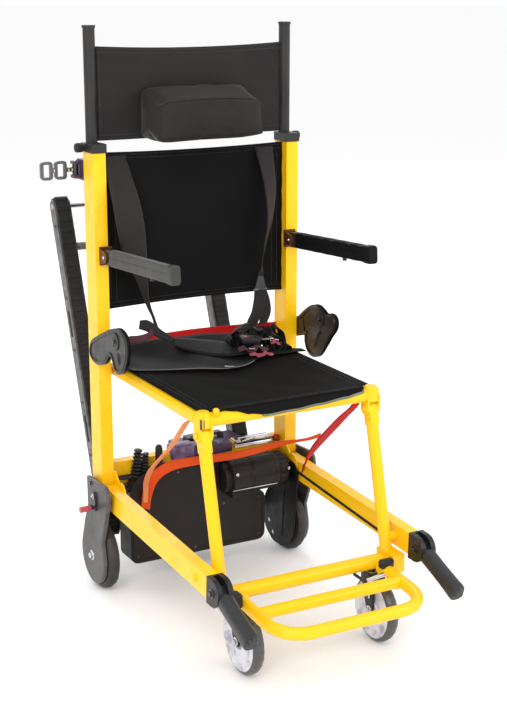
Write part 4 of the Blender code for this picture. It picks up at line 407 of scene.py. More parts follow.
# Head cushion: a stuffed block in thin leathercloth, set against the sling.
# A rounded box is remeshed, blown up by cloth pressure with each point's travel capped, then subdivided.
pad_low, pad_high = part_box("head_cushion")
pad_middle = (pad_low + pad_high) / 2
pad_half = Vector((0.1225, 0.050, 0.0505))
pad_edge = 0.010
pad_seat = Vector((pad_middle.x, pad_high.y - pad_half.y - 0.0012, pad_low.z + pad_half.z + 0.001))


def pad_place(co):
    """A point of the unit cube carried onto the cushion's cut shape."""
    u, v, w = co
    place = Vector((u * pad_half.x, v * pad_half.y, w * pad_half.z))
    core = pad_half - Vector((pad_edge,) * 3)
    inner = Vector([max(-core[i], min(core[i], place[i])) for i in range(3)])
    away = place - inner
    if away.length > 1e-9:
        place = inner + away.normalized() * pad_edge
    front = (1 - v) / 2
    place.x *= 1 - 0.05 * (1 - w * w) * front
    place.y -= 0.004 * (1 - u * u) * (1 - w * w) * front
    place.z -= 0.36 * (pad_half.y - place.y) * max(w, 0)
    place.z += 0.006 * (1 - u * u) * max(w, 0)
    place.z -= 0.004 * max(-w, 0) * max(-u, 0) ** 2
    return place


def finished(piece):
    """The piece's mesh as its modifiers leave it, in place of its own."""
    graph = bpy.context.evaluated_depsgraph_get()
    piece.data = bpy.data.meshes.new_from_object(piece.evaluated_get(graph))
    piece.modifiers.clear()


def blown(piece, voxel, pressure, cap, frames=20):
    """Remeshes a closed cover, fills it by cloth pressure and keeps each point within the cap of its start."""
    remesh = piece.modifiers.new("remesh", "REMESH")
    remesh.mode = "VOXEL"
    remesh.voxel_size = voxel
    finished(piece)
    start = [vert.co.copy() for vert in piece.data.vertices]
    cloth = piece.modifiers.new("cloth", "CLOTH")
    cloth.settings.use_pressure = True
    cloth.settings.uniform_pressure_force = pressure
    cloth.settings.effector_weights.gravity = 0
    cloth.settings.tension_stiffness = 25
    cloth.settings.compression_stiffness = 25
    cloth.settings.bending_stiffness = 1.5
    cloth.point_cache.frame_start = 1
    cloth.point_cache.frame_end = frames
    for step in range(1, frames + 1):
        bpy.context.scene.frame_set(step)
    finished(piece)
    for vert, rest in zip(piece.data.vertices, start):
        travel = vert.co - rest
        if travel.length > cap:
            vert.co = rest + travel.normalized() * cap
    bpy.context.scene.frame_set(1)
    smooth = piece.modifiers.new("smooth", "SUBSURF")
    smooth.levels = 1
    smooth.render_levels = 1
    finished(piece)
    piece.data.shade_smooth()


pad_shape = bmesh.new()
bmesh.ops.create_cube(pad_shape, size=2)
bmesh.ops.subdivide_edges(pad_shape, edges=pad_shape.edges, cuts=15, use_grid_fill=True)
for vert in pad_shape.verts:
    vert.co = pad_place(vert.co) + pad_seat
pad = solid("head_cushion_cover", pad_shape, pad_cloth, angle=180)
blown(pad, 0.005, 4.0, 0.005)
pad.data.materials.clear()
pad.data.materials.append(pad_cloth)
pad_uv = pad.data.uv_layers.new(name="UVMap")
for loop in pad.data.loops:
    spot_at = pad.data.vertices[loop.vertex_index].co
    pad_uv.data[loop.index].uv = (spot_at.x, spot_at.z + 0.7 * spot_at.y)
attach(pad, "head_frame")
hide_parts("head_cushion")


# Cushion piping: a thin cord in the cover's own leathercloth, sewn in round the front face.
# It is laid on the filled cover, at the points nearest to a rectangle in front of it.
def piping(name, points, radius, material, body, cyclic=True):
    """A round cord along the points."""
    curve = bpy.data.curves.new(name, "CURVE")
    curve.dimensions = "3D"
    curve.bevel_depth = radius
    curve.bevel_resolution = 3
    curve.use_fill_caps = True
    line = curve.splines.new("POLY")
    line.points.add(len(points) - 1)
    for spot_at, point in zip(line.points, points):
        spot_at.co = (*point, 1)
    line.use_cyclic_u = cyclic
    cord = bpy.data.objects.new(name, curve)
    bpy.context.scene.collection.objects.link(cord)
    graph = bpy.context.evaluated_depsgraph_get()
    mesh = bpy.data.meshes.new_from_object(cord.evaluated_get(graph))
    bpy.data.objects.remove(cord)
    piece = bpy.data.objects.new(name, mesh)
    bpy.context.scene.collection.objects.link(piece)
    mesh.materials.clear()
    mesh.materials.append(material)
    mesh.shade_smooth()
    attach(piece, body)


pad_tree = BVHTree.FromObject(pad, bpy.context.evaluated_depsgraph_get())
centre = Vector((pad_middle.x, pad_high.y - 0.100, pad_low.z + 0.046))
loop_points = []
for i in range(96):
    turn = 2 * math.pi * i / 96
    reach_x, reach_z = math.cos(turn), math.sin(turn)
    stretch = 1 / max(abs(reach_x), abs(reach_z))
    target = centre + Vector((reach_x * stretch * 0.119, 0, reach_z * stretch * 0.046))
    on_cover, outwards, _, _ = pad_tree.find_nearest(target)
    loop_points.append(on_cover + outwards * 0.0004)
piping("head_cushion_piping", loop_points, 0.0010, pad_cloth, "head_frame")

# Backrest: heavy black cloth laced tight between the posts, in a shallow hollow.
# It is hemmed all round, with two rows of thread along each hem.
back_low, back_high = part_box("backrest_panel")
back_width = back_high.x - back_low.x
back_height = back_high.z - back_low.z
back_rows = [0, 0.02, 0.04, 0.046] + [0.046 + 0.908 * i / 26 for i in range(1, 26)] + [0.954, 0.96, 0.98, 1]


def back_place(u, v):
    bow = 1 - (2 * u - 1) ** 2
    x = back_low.x + cloth_inset + u * (back_width - 2 * cloth_inset)
    pull = 0.0012 * math.sin(v * 40) * abs(2 * u - 1) ** 4
    y = chair(0, -0.010, 0).y + 0.006 * bow * (0.6 + 0.4 * math.sin(math.pi * v)) + pull
    lift = 0.004 * bow * (1 if v < 0.5 else -1) * abs(2 * v - 1) ** 3
    return Vector((x, y, back_low.z + v * back_height + lift))


back_shape = mapped(44, len(back_rows) - 1, rowed(back_rows, back_place), (back_width, back_height))
back = solid("backrest_cloth", back_shape, panel_cloth, "main_frame", "cloth", 50)
thickened(back, 0.0034, lambda co: co.z < back_low.z + 0.0155 or co.z > back_high.z - 0.0175)
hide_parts("backrest_panel")
back_thread = bmesh.new()
for level in (0.014, 0.038, 0.962, 0.986):
    sewn(back_thread, back_place, (0, level), (1, level), 30, (0, -0.0019, 0))
for side in (0.03, 0.06, 0.94, 0.97):
    sewn(back_thread, back_place, (side, 0.05), (side, 0.95), 30, (0, -0.0012, 0))
solid("backrest_thread", back_thread, thread, "main_frame", "cloth")

# Seat: the same cloth over both rails and the front rail, sagging between them.
# Its front corners are cut back round the two joints, and its hems are sewn like the backrest's.
seat_low, seat_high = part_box("seat_cloth")
seat_front, seat_back = seat_low.y, seat_high.y
seat_width = seat_high.x - seat_low.x
seat_depth = seat_back - seat_front
seat_sag = 0.007
seat_hem_depth = 0.013
rail_top = seat_high.z - 0.004
front_tube = (-0.418, 0.487)
seat_joints = [chair(sign * 0.1875, front_tube[0], 0) for side, sign in sides]
joint_radius = 0.0195
seat_rows = [0, 0.012, 0.03, 0.036] + [0.036 + 0.928 * i / 30 for i in range(1, 30)] + [0.964, 0.97, 0.985, 1]


def eased(t):
    return t * t * (3 - 2 * t)


def seat_place(u, v):
    x = seat_low.x + u * seat_width
    y = seat_front + v * seat_depth
    side = max(0.0, 1 - ((x - middle.x) / 0.172) ** 2)
    sag = seat_sag * side * min(1.0, max(0.0, (y - seat_front - 0.018) / 0.11))
    corner = abs(u - 0.5) * 2
    crease = 0.0011 * math.sin((x - middle.x) * 60 + y * 34) * side * eased(max(0, 1 - abs(v - 0.35) * 2.2))
    cut = 0.020 * max(0.0, (corner - 0.885) / 0.115) ** 2 * (1 - min(1, v * 12))
    return Vector((x, y + cut, rail_top + 0.0022 - sag + crease))


seat_shape = mapped(48, len(seat_rows) - 1, rowed(seat_rows, seat_place), (seat_width, seat_depth))
seat = solid("seat_cloth_cover", seat_shape, panel_cloth, "seat", "cloth", 50)
thickened(
    seat, 0.0034, lambda co: co.y < seat_front + seat_hem_depth or co.y > seat_back - seat_hem_depth, thin=0.65,
)
for vert in seat.data.vertices:
    joint = min(seat_joints, key=lambda place: (vert.co.xy - place.xy).length)
    away = vert.co.xy - joint.xy
    if away.length < joint_radius:
        vert.co.xy = joint.xy + away.normalized() * joint_radius
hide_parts("seat_cloth")
seat_thread = bmesh.new()
for level in (0.010, 0.032, 0.968, 0.990):
    sewn(seat_thread, seat_place, (0.08, level), (0.92, level), 30, (0, 0, 0.0019))
for side in (0.035, 0.065, 0.935, 0.965):
    sewn(seat_thread, seat_place, (side, 0.08), (side, 0.95), 30, (0, 0, 0.0013))
solid("seat_thread", seat_thread, thread, "seat", "cloth")


# Shoulder straps: padded black webbing sewn to the backrest's top, with two tails that hang below the left one.
# Each is a ribbon along a smooth route; the sitter's left one twists edge-on above its tab.
def spline(keys, t):
    """A smooth place along a list of points, at a share of its length in steps."""
    at = min(t, 0.999999) * (len(keys) - 1)
    i = int(at)
    s = at - i
    a, b, c, d = (keys[max(0, min(len(keys) - 1, i + k))] for k in (-1, 0, 1, 2))
    return 0.5 * (2 * b + (c - a) * s + (2 * a - 5 * b + 4 * c - d) * s * s + (3 * b - a - 3 * c + d) * s**3)


def strip(name, route, material, body, slot, columns=6, rows=60, plump=0.0):
    """Webbing along a route of (place, half width) stations, with its placing and its flat size."""
    places = [chair(*place) for place, half in route]
    halves = [Vector(half) for place, half in route]
    length = sum((a - b).length for a, b in zip(places, places[1:]))

    def place(u, v):
        return spline(places, v) + spline(halves, v) * (2 * u - 1)

    shape = mapped(columns, rows, place, (2 * max(h.length for h in halves), length))
    piece = solid(name, shape, material, body, slot, 50)
    thickened(piece, plump or 0.0022)
    if plump:
        group = piece.vertex_groups.new(name="edge")
        for index in range(len(piece.data.vertices)):
            share = abs(2 * (index % (columns + 1)) / columns - 1)
            group.add([index], 1 - 0.65 * share**4, "REPLACE")
        piece.modifiers["thickness"].vertex_group = "edge"
    run = [place(0.5, i / 200) for i in range(201)]
    widths = [2 * spline(halves, i / 200).length for i in range(201)]
    cut = (sum(widths) / 201, sum((a - b).length for a, b in zip(run, run[1:])))
    return piece, place, cut


inner = 0.211
right_route = [
    ((-inner + 0.028, -0.0132, 0.942), (0.022, 0, 0)),
    ((-inner + 0.031, -0.028, 0.900), (0.027, 0.002, 0)),
    ((-inner + 0.036, -0.050, 0.845), (0.032, 0.006, 0)),
    ((-inner + 0.042, -0.058, 0.790), (0.033, 0.008, 0)),
    ((-inner + 0.052, -0.054, 0.735), (0.027, 0.006, 0)),
    ((-inner + 0.071, -0.040, 0.685), (0.014, 0.002, 0)),
    ((-inner + 0.084, -0.028, 0.645), (0.0065, -0.002, 0)),
    ((-inner + 0.092, -0.026, 0.620), (0.004, -0.002, 0)),
    ((-inner + 0.101, -0.028, 0.596), (0.003, -0.001, 0)),
    ((-inner + 0.106, -0.031, 0.574), (0.0045, 0, 0)),
]
left_route = [
    ((inner - 0.048, -0.0132, 0.942), (0.022, 0, 0)),
    ((inner - 0.045, -0.026, 0.900), (0.019, 0.004, 0)),
    ((inner - 0.045, -0.040, 0.850), (0.017, 0.008, 0)),
    ((inner - 0.049, -0.046, 0.790), (0.0130, 0.012, 0)),
    ((inner - 0.058, -0.041, 0.735), (0.0085, 0.012, 0)),
    ((inner - 0.061, -0.033, 0.690), (0.0045, 0.008, 0)),
    ((inner - 0.0615, -0.028, 0.662), (0.0050, -0.002, 0)),
]
strap, strap_place, cut = strip(
    "shoulder_strap_pad", right_route, pad_cloth, "main_frame", "black_web", columns=10, rows=90, plump=0.007,
)
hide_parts("shoulder_strap_right")
seam = bmesh.new()
for side in (0.12, 0.88):
    sewn(seam, strap_place, (side, 0.02), (side, 0.88), 60, (0, -0.0024, 0))
solid("shoulder_strap_thread", seam, thread, "main_frame", "black_web")
strap, _, cut = strip("shoulder_strap_upper", left_route, black_web, "main_frame", "black_web", rows=80)
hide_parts("shoulder_strap_left")
for name, route in (
    ("shoulder_strap_tail", [
        ((inner - 0.062, -0.0245, 0.632), (0.0135, 0, 0)),
        ((inner - 0.061, -0.0215, 0.610), (0.0150, 0.001, 0)),
        ((inner - 0.068, -0.0235, 0.582), (0.0155, 0.003, -0.002)),
        ((inner - 0.082, -0.0275, 0.560), (0.0150, 0.005, -0.005)),
        ((inner - 0.090, -0.0320, 0.547), (0.0130, 0.006, -0.006)),
    ]),
    ("shoulder_strap_back_tail", [
        ((inner - 0.058, -0.0180, 0.634), (0.0125, 0, 0)),
        ((inner - 0.047, -0.0170, 0.605), (0.0130, 0, 0.001)),
        ((inner - 0.044, -0.0175, 0.575), (0.0135, 0.001, 0.001)),
        ((inner - 0.052, -0.0200, 0.551), (0.0120, 0.003, 0.002)),
    ]),
):
    tail, _, cut = strip(name, route, black_web, None, "black_web", rows=36)
    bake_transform(tail)
for name, material, route in (
    ("shoulder_strap_loop", black_web, [
        ((-0.156, -0.058, 0.593), (0.003, 0.004, 0.008)),
        ((-0.138, -0.056, 0.588), (0.003, 0.004, 0.011)),
        ((-0.118, -0.052, 0.575), (0.003, 0.005, 0.010)),
        ((-0.098, -0.050, 0.561), (0.003, 0.005, 0.007)),
        ((-0.078, -0.050, 0.551), (0.003, 0.005, 0.004)),
    ]),
    ("lap_belt_lead", plum_web, [
        ((-0.2085, -0.0885, 0.566), (0, 0.002, 0.007)),
        ((-0.192, -0.090, 0.571), (0, 0.002, 0.008)),
        ((-0.170, -0.090, 0.571), (0, 0.003, 0.007)),
        ((-0.150, -0.086, 0.574), (0, 0.003, 0.006)),
        ((-0.134, -0.074, 0.579), (0, 0.003, 0.006)),
    ]),
):
    loose = name == "shoulder_strap_loop"
    tail, _, cut = strip(name, route, material, None if loose else "main_frame", "black_web", rows=36)
    if loose:
        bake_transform(tail)


# Shoulder strap tab: a moulded triangle between the left strap and its tails.
# The strap is sewn round its top, and the tails hang from the slot bar at its foot.
def slab(shape, rim, push):
    """Adds a flat plate: the rim's face, pushed to its thickness."""
    face = shape.faces.new([shape.verts.new(place) for place in rim])
    grown = bmesh.ops.extrude_face_region(shape, geom=[face])
    bmesh.ops.translate(shape, vec=push, verts=[v for v in grown["geom"] if isinstance(v, bmesh.types.BMVert)])
    bmesh.ops.recalc_face_normals(shape, faces=shape.faces)


tab_grey = hard(
    "tab_grey", (0.011, 0.013, 0.014), (0.026, 0.030, 0.031), (0.3, 0.45), 500, 0.2, worn=(0.2, 0.22, 0.22),
)
tab_x = inner - 0.0615
tab = bmesh.new()
slab(tab, [
    chair(tab_x + x, -0.0275, z) for x, z in (
        (-0.0135, 0.629), (0.0135, 0.629), (0.0138, 0.634), (0.0045, 0.668), (0.0, 0.674),
        (-0.0045, 0.668), (-0.0138, 0.634),
    )
], (0, 0.0045, 0))
bmesh.ops.bevel(tab, geom=tab.edges, offset=0.0013, segments=3, profile=0.5, affect="EDGES")
bmesh.ops.create_cone(
    tab, cap_ends=True, segments=14, radius1=0.0026, radius2=0.0026, depth=0.032,
    matrix=Matrix.Translation(chair(tab_x, -0.0262, 0.6315)) @ Matrix.Rotation(math.pi / 2, 4, "Y"),
)
solid("shoulder_strap_tab", tab, tab_grey, "main_frame", "black_plastic")

# Lap belt: a wide padded wrap lies across the back of the seat, with webbing in loose loops on it.
# The wrap's rear edge stands up behind, and what leans on the backrest stays there when the seat folds.
lie = 0.5072
wrap_cloth = woven(
    "wrap_cloth", (0.0022, 0.0019, 0.0022), (0.0070, 0.0062, 0.0068), 0.0015, (0.5, 0.7), 0.3, sheen=0.02,
)
edging_grey = woven(
    "edging_grey", (0.10, 0.10, 0.10), (0.24, 0.24, 0.23), 0.0012, (0.5, 0.7), 0.3, sheen=0,
)
pile_web = webbing("pile_webbing", (0.0022, 0.0018, 0.0022), (0.0080, 0.0070, 0.0080), 0.02, (0.4, 0.6), 0.6)
pink_web = webbing("pink_webbing", (0.16, 0.018, 0.030), (0.42, 0.10, 0.13), 0, (0.4, 0.6), 0.6)
wrap_route = [
    ((-0.198, -0.040, lie + 0.014), (0.004, 0.034, 0.011)),
    ((-0.180, -0.056, lie + 0.017), (0.004, 0.050, 0.015)),
    ((-0.130, -0.070, lie + 0.019), (0.003, 0.058, 0.018)),
    ((-0.063, -0.085, lie + 0.020), (0.004, 0.066, 0.019)),
    ((-0.013, -0.100, lie + 0.020), (0.004, 0.078, 0.019)),
    ((0.035, -0.098, lie + 0.019), (0.004, 0.077, 0.018)),
    ((0.078, -0.086, lie + 0.017), (0.003, 0.060, 0.015)),
    ((0.110, -0.076, lie + 0.013), (0.003, 0.044, 0.010)),
]
wrap_columns, wrap_rows = 20, 70
wrap, wrap_at, cut = strip(
    "lap_belt_wrap", wrap_route, wrap_cloth, None, "black_web", wrap_columns, wrap_rows, plump=0.0055,
)


def rumple(u, v):
    """How the wrap's cloth is hollowed and rippled at a share of its width and of its length."""
    hollow = 1 - (2 * u - 1) ** 2
    sag = hollow * (0.011 + 0.0026 * math.sin(v * 17 + u * 5))
    return Vector((0, 0.0035 * math.sin(v * 23) * u, -sag))


def wrap_place(u, v):
    return wrap_at(u, v) + rumple(u, v)


for index, vert in enumerate(wrap.data.vertices):
    row, column = divmod(index, wrap_columns + 1)
    vert.co += rumple(column / wrap_columns, row / wrap_rows)
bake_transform(wrap)
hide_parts("lap_belt")
seam = bmesh.new()
for side in (0.045, 0.075, 0.95):
    sewn(seam, wrap_place, (side, 0.03), (side, 0.97), 60, (0, -0.0004, 0.0024))
belt_thread = solid("lap_belt_thread", seam, thread, slot="black_web")
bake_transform(belt_thread)
edge_line = [wrap_place(0.004, 0.10 + 0.72 * i / 50) + Vector((0, -0.001, 0.0012)) for i in range(51)]
piping("lap_belt_edging", edge_line, 0.0012, edging_grey, "seat", cyclic=False)
for name, material, route in (
    ("lap_belt_upper", pile_web, [
        ((-0.070, -0.046, lie + 0.035), (0.004, 0.014, 0.006)),
        ((-0.034, -0.062, lie + 0.027), (0.008, 0.024, 0.009)),
        ((0.010, -0.082, lie + 0.020), (0.010, 0.032, 0.009)),
        ((0.050, -0.098, lie + 0.018), (0.008, 0.030, 0.006)),
        ((0.088, -0.102, lie + 0.018), (0.004, 0.024, 0.003)),
    ]),
    ("lap_belt_gather", pile_web, [
        (
            (
                0.040 + 0.0066 * i, -0.078 - 0.004 * math.sin(i),
                lie + 0.026 + 0.017 * math.sin(i * 2.1) + 0.0006 * i,
            ),
            (0.003 * math.sin(i * 1.3), 0.013, 0.002),
        ) for i in range(17)
    ]),
    ("lap_belt_gather_rear", pile_web, [
        (
            (
                0.075 + 0.0066 * i, -0.048 - 0.003 * math.sin(i * 1.7),
                lie + 0.028 + 0.018 * math.sin(i * 1.9 + 1),
            ),
            (0.003 * math.sin(i * 1.1), 0.012, -0.002),
        ) for i in range(17)
    ]),
    ("lap_belt_gather_front", pile_web, [
        (
            (
                0.088 + 0.0060 * i, -0.106 - 0.003 * math.sin(i * 1.9),
                lie + 0.015 + 0.010 * math.sin(i * 2.3 + 2) - 0.0003 * i,
            ),
            (0.003 * math.sin(i * 1.7), 0.012, 0.003),
        ) for i in range(16)
    ]),
    ("lap_belt_loop_high", pile_web, [
        ((0.052, -0.066, lie + 0.024), (0.006, 0.008, 0.002)),
        ((0.062, -0.062, lie + 0.044), (0.008, 0.009, 0.002)),
        ((0.086, -0.060, lie + 0.054), (0.008, 0.010, 0.003)),
        ((0.114, -0.062, lie + 0.050), (0.002, 0.011, 0.004)),
        ((0.134, -0.066, lie + 0.034), (-0.006, 0.010, 0.003)),
        ((0.140, -0.070, lie + 0.008), (-0.006, 0.010, 0)),
    ]),
    ("lap_belt_loop_low", pile_web, [
        ((0.112, -0.092, lie + 0.005), (0.008, 0.010, 0)),
        ((0.116, -0.088, lie + 0.024), (0.008, 0.010, 0.002)),
        ((0.138, -0.084, lie + 0.037), (0.004, 0.012, 0.003)),
        ((0.160, -0.084, lie + 0.030), (-0.003, 0.012, 0.003)),
        ((0.172, -0.088, lie + 0.010), (-0.005, 0.011, 0.001)),
        ((0.178, -0.092, lie + 0.003), (-0.005, 0.011, 0)),
    ]),
    ("lap_belt_loop_end", pile_web, [
        ((0.148, -0.052, lie + 0.006), (0.006, 0.008, 0.001)),
        ((0.156, -0.050, lie + 0.034), (0.006, 0.008, 0.002)),
        ((0.170, -0.054, lie + 0.044), (0.003, 0.009, 0.003)),
        ((0.180, -0.062, lie + 0.034), (-0.003, 0.009, 0.002)),
        ((0.183, -0.070, lie + 0.006), (-0.003, 0.009, 0)),
    ]),
    ("lap_belt_run_out", pile_web, [
        ((0.096, -0.112, lie + 0.012), (-0.002, 0.016, 0.002)),
        ((0.124, -0.116, lie + 0.006), (-0.001, 0.017, 0.001)),
        ((0.155, -0.118, lie + 0.0035), (0, 0.016, 0)),
        ((0.182, -0.120, lie + 0.0035), (0, 0.014, 0)),
        ((0.204, -0.122, lie + 0.0020), (0, 0.011, 0)),
    ]),
    ("lap_belt_crumple", plum_web, [
        ((0.044, -0.122, lie + 0.0200), (0.001, 0.0060, 0.003)),
        ((0.056, -0.126, lie + 0.0250), (0.001, 0.0065, 0.003)),
        ((0.066, -0.122, lie + 0.0180), (0.001, 0.0070, 0.002)),
        ((0.080, -0.127, lie + 0.0210), (0.001, 0.0070, 0.004)),
        ((0.090, -0.123, lie + 0.0260), (0.001, 0.0065, 0.002)),
        ((0.100, -0.126, lie + 0.0170), (0.001, 0.0065, 0.003)),
        ((0.116, -0.121, lie + 0.0150), (0.001, 0.0060, 0.002)),
    ]),
    ("lap_belt_pull", pink_web, [
        ((0.064, -0.136, lie + 0.0110), (0.001, 0.0052, 0.001)),
        ((0.074, -0.141, lie + 0.0130), (0.001, 0.0055, 0.002)),
        ((0.081, -0.139, lie + 0.0085), (0.001, 0.0052, 0.003)),
        ((0.092, -0.143, lie + 0.0100), (0.001, 0.0060, 0.001)),
        ((0.101, -0.139, lie + 0.0125), (0.000, 0.0055, 0.002)),
        ((0.108, -0.142, lie + 0.0085), (0.000, 0.0052, 0.002)),
        ((0.119, -0.138, lie + 0.0070), (0.000, 0.0052, 0.001)),
    ]),
    ("lap_belt_pull_end", pink_web, [
        ((0.130, -0.108, lie + 0.0230), (0.001, 0.0050, 0.002)),
        ((0.138, -0.111, lie + 0.0270), (0.001, 0.0050, 0.003)),
        ((0.146, -0.107, lie + 0.0210), (0.001, 0.0052, 0.002)),
        ((0.156, -0.110, lie + 0.0180), (0.001, 0.0052, 0.002)),
    ]),
):
    rear = name in ("lap_belt_upper", "lap_belt_gather_rear")
    run, _, cut = strip(name, route, material, None if rear else "seat", "black_web")
    if rear:
        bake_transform(run)


# Lap belt buckle: a moulded housing with a bright tongue pushed into it and a red release button.
# It lies on the folded webbing, with three small bright slides further along the belt.
def bar(shape, low, high, edge=0.001, turn=None, segments=2):
    """A block with rounded edges, turned about its own middle where a turn is given."""
    low, high = Vector(low), Vector(high)
    made = bmesh.ops.create_cube(shape, size=1)["verts"]
    bmesh.ops.scale(shape, vec=high - low, verts=made)
    edges = list({e for v in made for e in v.link_edges})
    grown = bmesh.ops.bevel(shape, geom=edges, offset=edge, segments=segments, profile=0.5, affect="EDGES")
    made = list({v for f in grown["faces"] for v in f.verts} | {v for v in made if v.is_valid})
    made = list({v for f in {f for v in made for f in v.link_faces} for v in f.verts})
    spin = turn.to_4x4() if turn else Matrix.Identity(4)
    bmesh.ops.transform(shape, matrix=Matrix.Translation(chair(*((low + high) / 2))) @ spin, verts=made)


buckle_turn = Matrix.Rotation(math.radians(-12), 3, "Z") @ Matrix.Rotation(math.radians(5), 3, "Y")
for name, material, slot, blocks in (
    ("lap_belt_buckle", moulded, "black_plastic", [
        ((0.060, -0.122, 0.027), (0.100, -0.086, 0.043), 0.0050, 4),
        ((0.096, -0.116, 0.030), (0.109, -0.090, 0.040), 0.0030, 3),
        ((0.108, -0.082, 0.042), (0.128, -0.062, 0.052), 0.0040, 4),
    ]),
    ("lap_belt_tongue", bright, "steel", [
        ((0.104, -0.114, 0.033), (0.130, -0.092, 0.0355), 0.0008, 2),
        ((0.126, -0.119, 0.032), (0.134, -0.088, 0.0370), 0.0015, 2),
        ((-0.018, -0.1815, 0.0035), (0.004, -0.1765, 0.0065), 0.0010, 2),
        ((0.064, -0.1345, 0.021), (0.078, -0.1290, 0.0245), 0.0012, 2),
        ((0.136, -0.1085, 0.026), (0.150, -0.1030, 0.030), 0.0012, 2),
    ]),
    ("lap_belt_button", red_coat, "red_metal", [
        ((0.067, -0.111, 0.0405), (0.077, -0.097, 0.0440), 0.0014, 2),
    ]),
):
    shape = bmesh.new()
    for (*low_xy, low_z), (*high_xy, high_z), edge, segments in blocks:
        bar(shape, (*low_xy, lie + low_z), (*high_xy, lie + high_z), edge, buckle_turn, segments)
    solid(name, shape, material, "seat", slot)

# Leg straps: webbing from under each front corner of the seat to the foot of its post.
# The right one is pale orange, the left one red and turned edge-on at its foot.
# A station says how far out, ahead and up it is, its half width, how it turns and how its edge rises.
for side, sign, material, slot, run_of in (
    ("right", -1, pale_web, "orange_web", [
        (0.1635, 0.4026, 0.489, 0.0070, 0, 0), (0.1635, 0.4005, 0.470, 0.0070, 0, 0),
        (0.1635, 0.350, 0.4655, 0.0070, 0.001, 0), (0.1635, 0.305, 0.452, 0.0085, 0.002, 0),
        (0.1635, 0.270, 0.421, 0.0095, 0.003, 0), (0.1635, 0.228, 0.379, 0.0095, 0.003, 0),
        (0.1635, 0.170, 0.334, 0.0090, 0.003, 0), (0.1620, 0.118, 0.293, 0.0080, 0.002, 0),
        (0.1580, 0.082, 0.255, 0.0068, 0.001, 0), (0.1500, 0.059, 0.222, 0.0058, 0, 0),
        (0.1450, 0.0455, 0.192, 0.0052, 0, 0),
    ]),
    ("left", 1, red_web, "red_web", [
        (0.1635, 0.4026, 0.489, 0.0085, 0, 0), (0.1635, 0.4000, 0.464, 0.0090, 0, 0),
        (0.1640, 0.352, 0.424, 0.0110, 0.002, 0), (0.1670, 0.300, 0.381, 0.0115, 0.003, 0),
        (0.1760, 0.243, 0.338, 0.0110, 0.003, 0), (0.1900, 0.185, 0.293, 0.0090, 0.002, 0.003),
        (0.2050, 0.140, 0.257, 0.0050, 0.001, 0.007), (0.2105, 0.112, 0.230, 0.0006, 0.003, 0.009),
    ]),
):
    route = [((sign * x, -y, z), (wide, -sign * turn, turn * 0.5 + up)) for x, y, z, wide, turn, up in run_of]
    run, _, cut = strip(f"leg_strap_{side}_webbing", route, material, None, slot, rows=90)
    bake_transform(run)
    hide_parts(f"leg_strap_{side}")

# Red band: webbing stretched between the posts behind the seat.
# It is turned over at each end and sewn with two short rows of thread.
band_y = 0.015
run, run_place, cut = strip(
    "red_band_webbing", [
        ((-inner + 0.0003, band_y, 0.528), (0, 0, 0.013)),
        ((-0.120, band_y + 0.006, 0.531), (0, 0.001, 0.013)),
        ((0.0, band_y + 0.008, 0.534), (0, 0.001, 0.013)),
        ((0.120, band_y + 0.006, 0.532), (0, 0, 0.013)),
        ((inner - 0.0003, band_y, 0.529), (0, 0, 0.013)),
    ], red_web, "main_frame", "red_web", rows=70,
)
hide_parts("red_band")
seam = bmesh.new()
for side in (0.14, 0.86):
    for start in (0.01, 0.93):
        sewn(seam, run_place, (side, start), (side, start + 0.06), 6, (0, -0.0013, 0))
solid("red_band_thread", seam, thread, "main_frame", "red_web")

# Orange band: webbing that starts on the drive cover's face, bends over its shoulder and runs along the motor.
# Its far end narrows and lies over the left side tube.
front = -0.0334
side_x = -0.176
ahead = -0.094
run, run_place, cut = strip(
    "orange_band_webbing", [
        ((side_x + 0.036, front, 0.172), (0.010, 0, -0.004)),
        ((side_x + 0.038, front - 0.008, 0.210), (0.009, -0.003, -0.006)),
        ((side_x + 0.052, front - 0.017, 0.248), (0.006, -0.004, -0.009)),
        ((side_x + 0.086, front - 0.028, 0.271), (0.001, -0.004, -0.010)),
        ((-0.030, ahead + 0.022, 0.277), (0, -0.003, -0.009)),
        ((0.050, ahead, 0.283), (0, -0.002, -0.008)),
        ((0.120, ahead - 0.006, 0.290), (0, 0, -0.0075)),
        ((0.165, ahead - 0.007, 0.2945), (0, 0, -0.0055)),
        ((0.204, ahead - 0.006, 0.2935), (0, 0, -0.0032)),
        ((0.236, ahead - 0.006, 0.2940), (0, 0, -0.0036)),
        ((0.263, ahead - 0.007, 0.2985), (0, 0.001, -0.0050)),
    ], orange_web, None, "orange_web", rows=90,
)
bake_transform(run)
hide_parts("orange_band")


# Fastenings: hexagon bolts with washers and domed cap screws, in steel or in the frame's enamel.
# Each is set on the face that a ray from outside meets first.
def walled(shape, rings):
    """Joins rings of points into one closed skin."""
    count = len(rings[0])
    for one, two in zip(rings, rings[1:]):
        for k in range(count):
            shape.faces.new((one[k], one[(k + 1) % count], two[(k + 1) % count], two[k]))
    shape.faces.new(rings[0][::-1])
    shape.faces.new(rings[-1])


def around(count, radius, start=0.0):
    """Pairs of places round a circle, the first at an angle in degrees."""
    for k in range(count):
        turn = math.radians(start) + 2 * math.pi * k / count
        yield radius * math.cos(turn), radius * math.sin(turn)


def lathe(shape, place, axis, profile, steps=20):
    """Adds a turned body along an axis from a place, by its (along, radius) profile."""
    turn = Vector(axis).normalized().to_track_quat("Z", "Y").to_matrix()
    walled(shape, [
        [shape.verts.new(place + turn @ Vector((a, b, along))) for a, b in around(steps, radius)]
        for along, radius in profile
    ])


def pin(shape, place, axis, length, radius, end, ease, steps, start=0.0):
    """Adds a round rod whose radius eases to its end's over a short length."""
    far = start + length
    profile = [(start, end), (start + ease, radius), (far - ease, radius), (far, end)]
    lathe(shape, place, axis, profile, steps)


trees = {}


